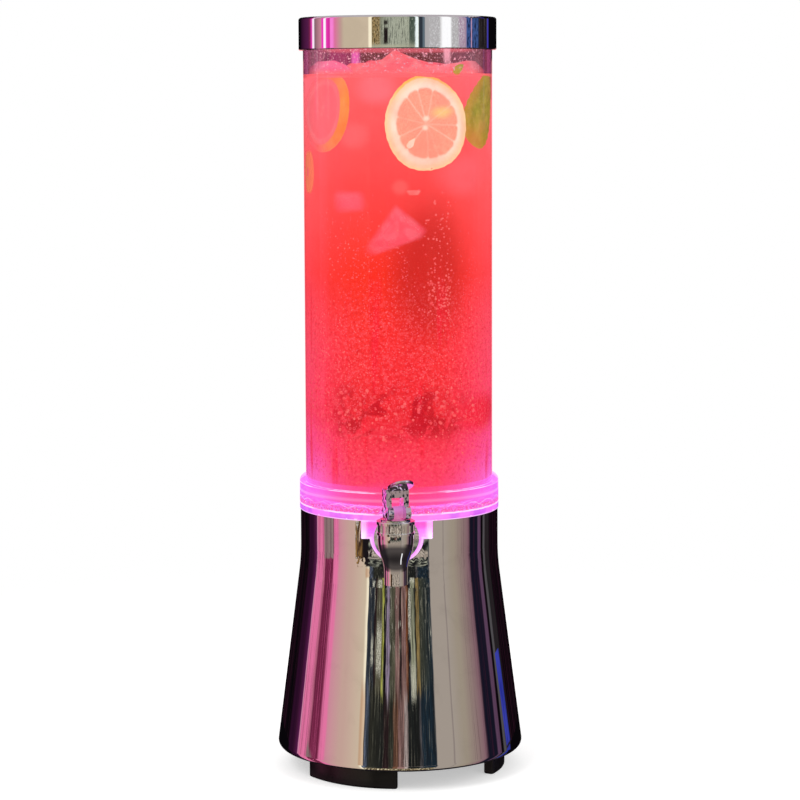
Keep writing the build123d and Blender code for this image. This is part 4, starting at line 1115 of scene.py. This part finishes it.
# Shades of the cards round the stage that the chrome mirrors
CARD_SHADES = {
    "black": (8, 6, 9), "back": (255, 170, 176), "plum": (40, 12, 36), "grape": (84, 28, 72),
    "blush": (212, 136, 168), "pink": (226, 116, 160), "tan": (190, 104, 132), "wine": (112, 36, 66),
    "rose": (202, 138, 152), "rose_beige": (194, 160, 148), "beige": (200, 182, 157),
    "cream": (250, 238, 208), "slate": (48, 55, 64), "stone": (160, 149, 138), "khaki": (154, 142, 126),
    "dusk": (128, 94, 104),
    "drab": (134, 122, 116), "ink": (20, 20, 34), "heather": (90, 64, 88), "ash": (80, 78, 80),
    "char": (34, 32, 33), "magenta": (238, 58, 182), "deep": (206, 44, 146), "orchid": (251, 132, 214),
    "white": (255, 255, 255), "haze": (255, 232, 250), "steel": (92, 106, 116), "silver": (174, 171, 171),
    "mauve": (164, 138, 158), "denim": (62, 88, 144), "umber": (30, 25, 28), "violet": (64, 60, 168),
    "dusty": (150, 114, 108), "gold": (152, 128, 78), "olive": (96, 92, 74), "moss": (72, 74, 60),
    "sage": (150, 152, 126), "yellow": (182, 184, 84), "brown": (132, 76, 46), "lilac": (158, 140, 162),
    "maroon": (46, 30, 32), "coal": (30, 33, 32), "teal": (27, 44, 56), "fern": (54, 54, 45),
    "russet": (118, 80, 62), "blue_grey": (108, 118, 138), "pale": (188, 170, 164), "sand": (186, 172, 156),
    "ground": (74, 68, 66),
}

# Bands of cards: from azimuth, to azimuth, shade at each. What the base sees, to its left and right
BASE_LEFT = [
    (-180, -128, "black", "black"), (-126, -118, "plum", "plum"), (-117, -109, "plum", "grape"),
    (-108, -107.2, "blush", "blush"), (-106.4, -96.6, "pink", "pink"), (-94.6, -93.4, "tan", "tan"),
    (-91.4, -80.6, "wine", "wine"), (-78.2, -73.4, "pink", "pink"), (-71, -57, "rose", "rose_beige"),
    (-54, -36, "rose_beige", "beige"), (-33.7, -33.1, "cream", "cream"), (-32.4, 0, "slate", "slate"),
]
BASE_RIGHT = [
    (0, 34.6, "slate", "slate"), (35.8, 51.6, "stone", "stone"), (52.2, 52.7, "drab", "drab"),
    (53.4, 64, "stone", "khaki"), (66, 88, "khaki", "dusk"), (90.4, 103, "ink", "ink"),
    (104.4, 109, "heather", "heather"), (110, 113.6, "black", "black"), (114.4, 117.6, "ash", "ash"),
    (118.8, 127.4, "char", "char"), (129, 180, "black", "black"),
]

# What the crowded middle ahead of the base shows, higher up and lower down
MIDDLE_HIGH = [
    (-31.4, -25.8, "slate", "slate"), (-25.2, -23.2, "maroon", "maroon"), (-22.8, -17.6, "olive", "olive"),
    (-16.4, -15.7, "yellow", "yellow"), (-15.1, -12.6, "black", "black"), (-12.2, -9.4, "lilac", "lilac"),
    (-9, -3.5, "moss", "olive"), (-3, 0.7, "dusty", "dusty"), (1.2, 3.2, "maroon", "maroon"),
    (3.7, 7.8, "dusty", "dusty"), (8.2, 9.6, "brown", "brown"), (10, 13, "black", "slate"),
    (13.4, 16.8, "sage", "sage"), (17.4, 18.6, "coal", "coal"), (19.2, 21.6, "gold", "gold"),
    (22.2, 34.6, "moss", "teal"),
]
MIDDLE_LOW = [
    (-31.4, -28.4, "blue_grey", "slate"), (-27, -14.4, "fern", "coal"), (-13.6, -9, "maroon", "maroon"),
    (-8.4, -5, "fern", "fern"), (-4.4, -0.8, "russet", "russet"), (-0.2, 5.2, "dusty", "dusty"),
    (6, 8.2, "pale", "pale"), (9, 19.4, "coal", "coal"), (20, 21.4, "ash", "ash"),
    (22.2, 34.6, "teal", "teal"),
]

# Spots in that middle that sparkle: azimuths, heights and how soft their sides are in degrees
SPARKLES = [
    ((-22.4, -17.6), (0.135, 0.20), 0.6), ((10.6, 13.2), (0.19, 0.26), 0.4),
    ((12.6, 17.6), (0.105, 0.15), 0.6), ((-28.4, -26), (0.14, 0.175), 0.4),
]

# What the lid sees, higher up
LID_LEFT = [
    (-180, -152, "black", "black"), (-146, -124, "plum", "grape"), (-120, -114.6, "wine", "magenta"),
    (-113.4, -110.2, "haze", "haze"), (-109, -96.6, "dusk", "rose"), (-95.8, -92.8, "magenta", "magenta"),
    (-92, -88.8, "white", "haze"), (-88, -82.4, "magenta", "deep"), (-81.4, -78, "orchid", "orchid"),
    (-75, -66, "pink", "rose_beige"), (-62, -32, "beige", "beige"), (-31, -28, "cream", "cream"),
    (-27, 0, "olive", "sage"),
]
LID_RIGHT = [
    (0, 25.2, "sage", "sage"), (26, 29.6, "slate", "slate"), (30.2, 32.2, "steel", "steel"),
    (33, 50, "silver", "silver"), (54, 64, "white", "white"), (66.4, 74, "silver", "silver"),
    (78, 86.4, "mauve", "mauve"), (87.6, 107, "denim", "denim"), (108.4, 127, "umber", "umber"),
    (127.8, 130.6, "violet", "violet"), (131.6, 180, "black", "black"),
]


def stage_object(name, sheets, finish):
    """Object of the stage, which isn't part of the tower."""
    piece = new_object(name, finish, sheets)
    return piece


def make_floor():
    """Pale disc that takes the shadow, fades out at its edge and is unseen from below."""
    material, tree, sockets = lit_finish("floor", 0.9, 0.0)
    speck = noise(object_place(tree), 60.0)
    seen = output(tree, "LightPath", which="Is Camera Ray")
    above = 1.0 - output(tree, "NewGeometry", which="Backfacing")
    fade = round_place(tree)[1].step(0.4 * FLOOR_R, 0.95 * FLOOR_R, 1.0, 0.0)
    feed(sockets, Base_Color=mix(speck, (0.74, 0.74, 0.74, 1.0), (0.76, 0.76, 0.76, 1.0)),
         Emission_Color=mix(seen, BLACK, (0.48, 0.48, 0.48, 1.0)), Alpha=fade * above)
    rings = np.linspace(0, FLOOR_R, 12)[::-1, None]
    azimuth = np.linspace(0, 2 * np.pi, 64, endpoint=False)[None, :]
    floor = stage_object("floor", [(round_points(azimuth, rings, 0.0), False, True)], material)
    floor.visible_glossy = False


def card_bands(azimuth, bands):
    """Colour at an azimuth along bands of cards, each plain or running from one shade to another."""
    first, last = bands[0][0], bands[-1][1]
    ends = [end for start, stop, *shades in bands for end in zip((start, stop), shades)]
    stops = [((angle - first) / (last - first), CARD_SHADES[shade]) for angle, shade in ends]
    return ramp(azimuth.run(first, last), *stops)


def two_sided(azimuth, left, right):
    """Colour of bands of cards on the left and on the right of the way ahead."""
    return mix(azimuth > 0.0, card_bands(azimuth, left), card_bands(azimuth, right))


def card_noise(azimuth, height, across, up, detail=3.0, rough=0.55, distortion=0.0):
    """Noise on the cards, of so many grains a radian and a metre."""
    place = output(azimuth.tree, "CombineXYZ", {0: azimuth * math.radians(across), 2: height * up})
    return noise(place, 1.0, detail, rough, distortion)


def patch(azimuth, height, sides, ends, soft, soft_up):
    """Mask of a card between two azimuths and two heights."""
    return azimuth.between(*sides, soft) * height.between(*ends, soft_up)


def busy_cards(azimuth, height):
    """Crowded room ahead of the base: upright bands with sparkles, darker low down."""
    streaks = card_noise(azimuth, height, 90.0, 15.0, detail=4.0, rough=0.6)
    jolts = card_noise(azimuth, height, 36.0, 28.8)
    grains = card_noise(azimuth, height, 210.0, 480.0, detail=2.0)
    threads = card_noise(azimuth, height, 150.0, 7.0, detail=2.0)
    flecks = card_noise(azimuth, height, 73.6, 41.6, detail=1.0)
    swayed = azimuth.sway(jolts, 3.6)
    sparkling = highest(*(patch(azimuth, height, *spot, 0.01) for spot in SPARKLES))
    return paint(
        card_bands(swayed, MIDDLE_LOW),
        (height.sway(streaks, 0.08).step(0.10, 0.125), card_bands(swayed, MIDDLE_HIGH)),
        (streaks.step(0.44, 0.56, 0.65, 0.0), (24, 22, 21)),
        (threads.step(0.45, 0.39, 0.0, 0.7), (22, 20, 20)),
        (streaks.step(0.58, 0.66, 0.0, 0.55) * height.step(0.08, 0.13, 0.35, 1.0), (196, 190, 168)),
        (grains.step(0.5, 0.56) * sparkling, (242, 238, 216)),
        (flecks.step(0.68, 0.75, 0.0, 0.8) * height.step(0.12, 0.16), (238, 234, 214)),
    )


def under_cards(azimuth, height):
    """What the tap and the neck beside it see ahead and low down.

    Sand with dark scribbles, dark between with pale streaks, and a brown and gold jag to the left.
    """
    shapes = card_noise(azimuth, height, 18.0, 24.0, distortion=0.5)
    scribbles = card_noise(azimuth, height, 7.41, 390.0, detail=4.0, rough=0.65)
    streaks = card_noise(azimuth, height, 8.0, 64.0, detail=1.0)
    dim = ramp(streaks, (0.42, (22, 22, 24)), (0.54, (70, 72, 68)), (0.66, (176, 176, 154)))
    bent = highest(height.between(-0.146, 0.1, 0.003), height.between(-0.2, -0.174, 0.003))
    jagged = azimuth.sway(shapes, 14.0)
    tanned = mix(shapes.step(0.42, 0.6), (58, 40, 30), (146, 110, 64))
    close = paint(
        CARD_SHADES["sand"],
        (scribbles.step(0.5, 0.46, 0.0, 0.95), (40, 34, 34)),
        (scribbles.step(0.58, 0.66, 0.0, 0.8), (236, 226, 216)),
        (bent, dim),
        (jagged.between(-49, -33, 0.8), mix(jagged.step(-43, -40), tanned, (26, 21, 24))),
    )
    return mix(height.step(-0.34, -0.27), (150, 138, 126), close)


def neck_cards(azimuth):
    """What the neck sees to its left where the skirt sees wine: grey-brown with dark upright lines."""
    lines = card_noise(azimuth, 0.0, 46.0, 0.0, detail=2.0)
    return ramp(lines, (0.38, (58, 34, 42)), (0.46, (126, 98, 102)), (0.62, (158, 138, 132)))


def shelf_cards(azimuth, height):
    """What the lid sees ahead: gold and sage with thin lines and dots, a dark block and a white jag."""
    lines = card_noise(azimuth, height, 60.0, 50.0)
    dots = card_noise(azimuth, height, 34.0, 520.0, rough=0.65)
    plain = ramp(azimuth.run(-27.5, 22.5), (0.0, (178, 150, 100)), (0.16, (172, 148, 102)),
                 (0.2, (138, 140, 120)), (0.38, (162, 166, 148)), (0.83, (168, 172, 152)),
                 (0.86, (80, 94, 82)))
    block = highest(*(patch(azimuth, height, (-13.8, -9.4), ends, 0.4, 0.001)
                      for ends in ((0.5025, 0.5245), (0.5285, 0.534))))
    return paint(
        plain,
        (dots.step(0.52, 0.46, 0.0, 0.9) * azimuth.between(-28, -18.6, 0.4), (44, 32, 20)),
        (lines.step(0.45, 0.40, 0.0, 0.9), (36, 40, 36)),
        (dots.step(0.42, 0.37, 0.0, 0.85), (34, 36, 32)),
        (dots.step(0.60, 0.66, 0.0, 0.7), (226, 228, 210)),
        (block, (32, 25, 25)),
        (height.step(0.5005, 0.5025, 0.8, 0.0), (176, 176, 152)),
        (azimuth.sway(dots, 8.0).between(21.6, 25.6, 0.4), (240, 250, 248)),
    )


def lid_cards(azimuth, height):
    """What the lid sees: its bands, with speckles on the silver, bars on the denim and lines on the umber."""
    dots = card_noise(azimuth, height, 34.0, 520.0, rough=0.65)
    bars = card_noise(azimuth, height, 26.0, 130.0, detail=2.0)
    lines = card_noise(azimuth, height, 90.0, 8.0, detail=2.0)
    return paint(
        two_sided(azimuth, LID_LEFT, LID_RIGHT),
        (dots.step(0.54, 0.62) * azimuth.between(38, 84, 2.0), (246, 246, 248)),
        (bars.step(0.5, 0.44, 0.0, 0.85) * azimuth.between(88, 107, 0.5), (22, 28, 48)),
        (azimuth.between(94.6, 96, 0.3), (196, 150, 172)),
        (lines.step(0.56, 0.62, 0.0, 0.7) * azimuth.between(109, 127, 0.5), (104, 96, 94)),
        (azimuth.between(-27.6, 25.2, 0.4), shelf_cards(azimuth, height)),
    )


def ring_colour(azimuth, radius, height):
    """Ring of cards: bands for the base, other bands higher up for the lid, a dark ground and a pale top."""
    round_by = abs(azimuth)
    wander = card_noise(azimuth, height, 18.0, 18.0)
    swayed = azimuth.sway(wander, 2.0)
    hair = card_noise(swayed, height, 60.0, 2.0)
    beside = height.step(-0.14, -0.12, 1.0, 0.0) * azimuth.between(-95, -79.6, 0.5)
    browned = patch(swayed, height, (-37, -32.6), (-0.03, 0.10), 1.0, 0.02) * 0.6
    ragged = wander.step(0.42, 0.58, 0.0, 0.13) * azimuth.step(-36, -39)
    low_ahead = (height + ragged).step(-0.065, -0.035, 1.0, 0.0) * swayed.between(-50, 34, 0.6)
    wall = paint(
        two_sided(swayed, BASE_LEFT, BASE_RIGHT),
        (hair.step(0.48, 0.38, 0.0, 0.5) * round_by.step(68, 78), (60, 24, 44)),
        (hair.step(0.54, 0.64, 0.0, 0.75) * swayed.between(-94, -78, 1.0), (214, 96, 146)),
        (beside, neck_cards(azimuth)),
        (swayed.between(-31.6, 34.8, 0.4), busy_cards(swayed, height)),
        (browned, (182, 130, 92)),
        (low_ahead, under_cards(azimuth, height)),
        (height.step(0.38, 0.42), lid_cards(azimuth, height)),
        (round_by.step(156, 174) * height.between(-0.12, 0.482, 0.004), CARD_SHADES["back"]),
    )
    ground = height < CARD_LOW + 0.01
    edges = round_by.step(45, 85, 0.0, 0.8) * height.step(-0.45, -0.35, 1.0, 0.0)
    streak = azimuth.between(46, 54, 2.0) * radius.between(1.05, 1.7, 0.05) * ground
    return paint(
        CARD_SHADES["ground"],
        (height.sway(wander, 0.2).step(-0.8, -0.34), wall),
        (ground, mix(radius.run(1.1, 1.95), (42, 38, 38), CARD_SHADES["ground"])),
        (edges, (22, 16, 24)),
        (streak, CARD_SHADES["white"]),
        (height > CARD_HIGH - 0.1, (180, 172, 176)),
    )


def foot_colour(azimuth, radius, height):
    """Ground card by the foot, which the skirt's rounded edge sees: the base's bands go on, with glints."""
    out = radius * 2.0
    doubled = azimuth * (out / (out - SKIRT_R)) * 0.95
    flecks = card_noise(azimuth, radius, 56.0, 84.0, detail=2.0)
    glints = ramp(flecks, (0.42, (70, 60, 46)), (0.54, (150, 132, 98)), (0.66, (250, 240, 204)))
    calm = mix(radius.step(0.092, 0.106), glints, card_bands(doubled, MIDDLE_LOW))
    return paint(
        two_sided(doubled, BASE_LEFT, BASE_RIGHT),
        (doubled.between(119, 127, 0.6), (44, 52, 150)),
        (doubled.between(-32, 34.8, 0.6), calm),
    )


def stripe_colour(azimuth, radius, height):
    """Low upright card to the right of the tower: blue, a little uneven."""
    return mix(card_noise(azimuth, height, 30.0, 40.0).step(0.35, 0.65), (36, 44, 138), (58, 64, 166))


def card_object(name, sheet, colour_of):
    """Stage object that shines with a colour made from (azimuth, radius, height) and shows only in gloss."""
    material = bpy.data.materials.new(name)
    material.use_nodes = True
    tree = material.node_tree
    tree.nodes.clear()
    light = output(tree, "Emission", {"Color": colour_of(*round_place(tree)), "Strength": CARD_GLOW})
    light.to(add_node(tree, "OutputMaterial").inputs["Surface"])
    card = stage_object(name, [sheet], material)
    for ray in ("camera", "diffuse", "transmission", "shadow", "volume_scatter"):
        setattr(card, "visible_" + ray, False)


def make_cards():
    """Cards that show only in gloss: a closed ring, a ground card by the foot and a blue stripe."""
    profile = np.array([(0, CARD_LOW), (CARD_R, CARD_LOW), (CARD_R, CARD_HIGH), (0, CARD_HIGH)])
    card_object("cards", (turned(profile, 96), False, True), ring_colour)
    near = np.array([(FOOT_CARD[1], 0.0), (FOOT_CARD[0], 0.0)])
    card_object("foot_card", (turned(near, 96), False, True), foot_colour)
    azimuth = np.radians(np.linspace(*STRIPE_SIDES, 9))[None, :]
    height = np.linspace(*STRIPE_ENDS, 5)[:, None]
    card_object("stripe_card", (round_points(azimuth, STRIPE_R, height), False, False), stripe_colour)


def make_world():
    """White where it is seen, and a plain soft light on the tower."""
    world = bpy.data.worlds.new("studio")
    world.use_nodes = True
    bpy.context.scene.world = world
    tree = world.node_tree
    tree.nodes.clear()
    rays = add_node(tree, "LightPath").outputs
    seen = highest(*(Signal(rays["Is " + kind + " Ray"]) for kind in ("Camera", "Glossy", "Transmission")))
    light = output(tree, "Background", {"Color": (1.0, 0.99, 0.98, 1.0), "Strength": 0.75})
    white = output(tree, "Background", {"Color": (1.0, 1.0, 1.0, 1.0), "Strength": 1.0})
    mixed = output(tree, "MixShader", {0: seen, 1: light, 2: white})
    mixed.to(add_node(tree, "OutputWorld").inputs["Surface"])


def make_lamp(name, place, size, power):
    """Soft square lamp aimed at the tower's middle, unseen in the chrome."""
    data = bpy.data.lights.new(name, "AREA")
    data.size = size
    data.energy = power
    lamp = bpy.data.objects.new(name, data)
    bpy.context.scene.collection.objects.link(lamp)
    lamp.location = place
    lamp.rotation_euler = (Vector(place) - Vector((0.0, 0.0, 0.2))).to_track_quat("Z", "Y").to_euler()
    lamp.visible_glossy = False


# Camera as fitted to the photograph's 800 by 800 frame
CAMERA_DISTANCE = 1.6559
CAMERA_HEIGHT = 0.4321
CAMERA_AZIMUTH = 1.44
CAMERA_PITCH = 5.987
CAMERA_ROLL = 0.214
CAMERA_FOCAL = 2592.4       # in pixels of that frame
CAMERA_MIDDLE = 398.7       # column that the camera points at
CAMERA_SHIFT = 0.04
FRAME_SIZE = 800
SENSOR = 36.0


def make_camera():
    """Camera at the photograph's place: level ahead, pitched down, with a slight roll."""
    data = bpy.data.cameras.new("camera")
    data.sensor_width = SENSOR
    data.lens = CAMERA_FOCAL / FRAME_SIZE * SENSOR
    data.shift_x = (FRAME_SIZE / 2 - CAMERA_MIDDLE) / FRAME_SIZE
    data.shift_y = -CAMERA_SHIFT
    camera = bpy.data.objects.new("camera", data)
    bpy.context.scene.collection.objects.link(camera)
    azimuth = math.radians(CAMERA_AZIMUTH)
    ahead = -CAMERA_DISTANCE * math.cos(azimuth)
    camera.location = (CAMERA_DISTANCE * math.sin(azimuth), ahead, CAMERA_HEIGHT)
    camera.rotation_mode = "XYZ"
    camera.rotation_euler = (math.radians(90 - CAMERA_PITCH), 0.0, azimuth)
    camera.rotation_euler.rotate_axis("Z", math.radians(-CAMERA_ROLL))
    bpy.context.scene.camera = camera


make_drink()
make_lemon()
make_mint()
make_ice()
make_bubbles()
make_mist()
dress_solids()
make_spring()
make_floor()
make_cards()
make_world()
make_lamp("key", (-0.9, -1.2, 1.5), 0.9, 14.0)
make_lamp("fill", (1.1, -0.9, 1.0), 0.9, 7.0)
make_camera()
bpy.context.scene.view_settings.view_transform = "Standard"
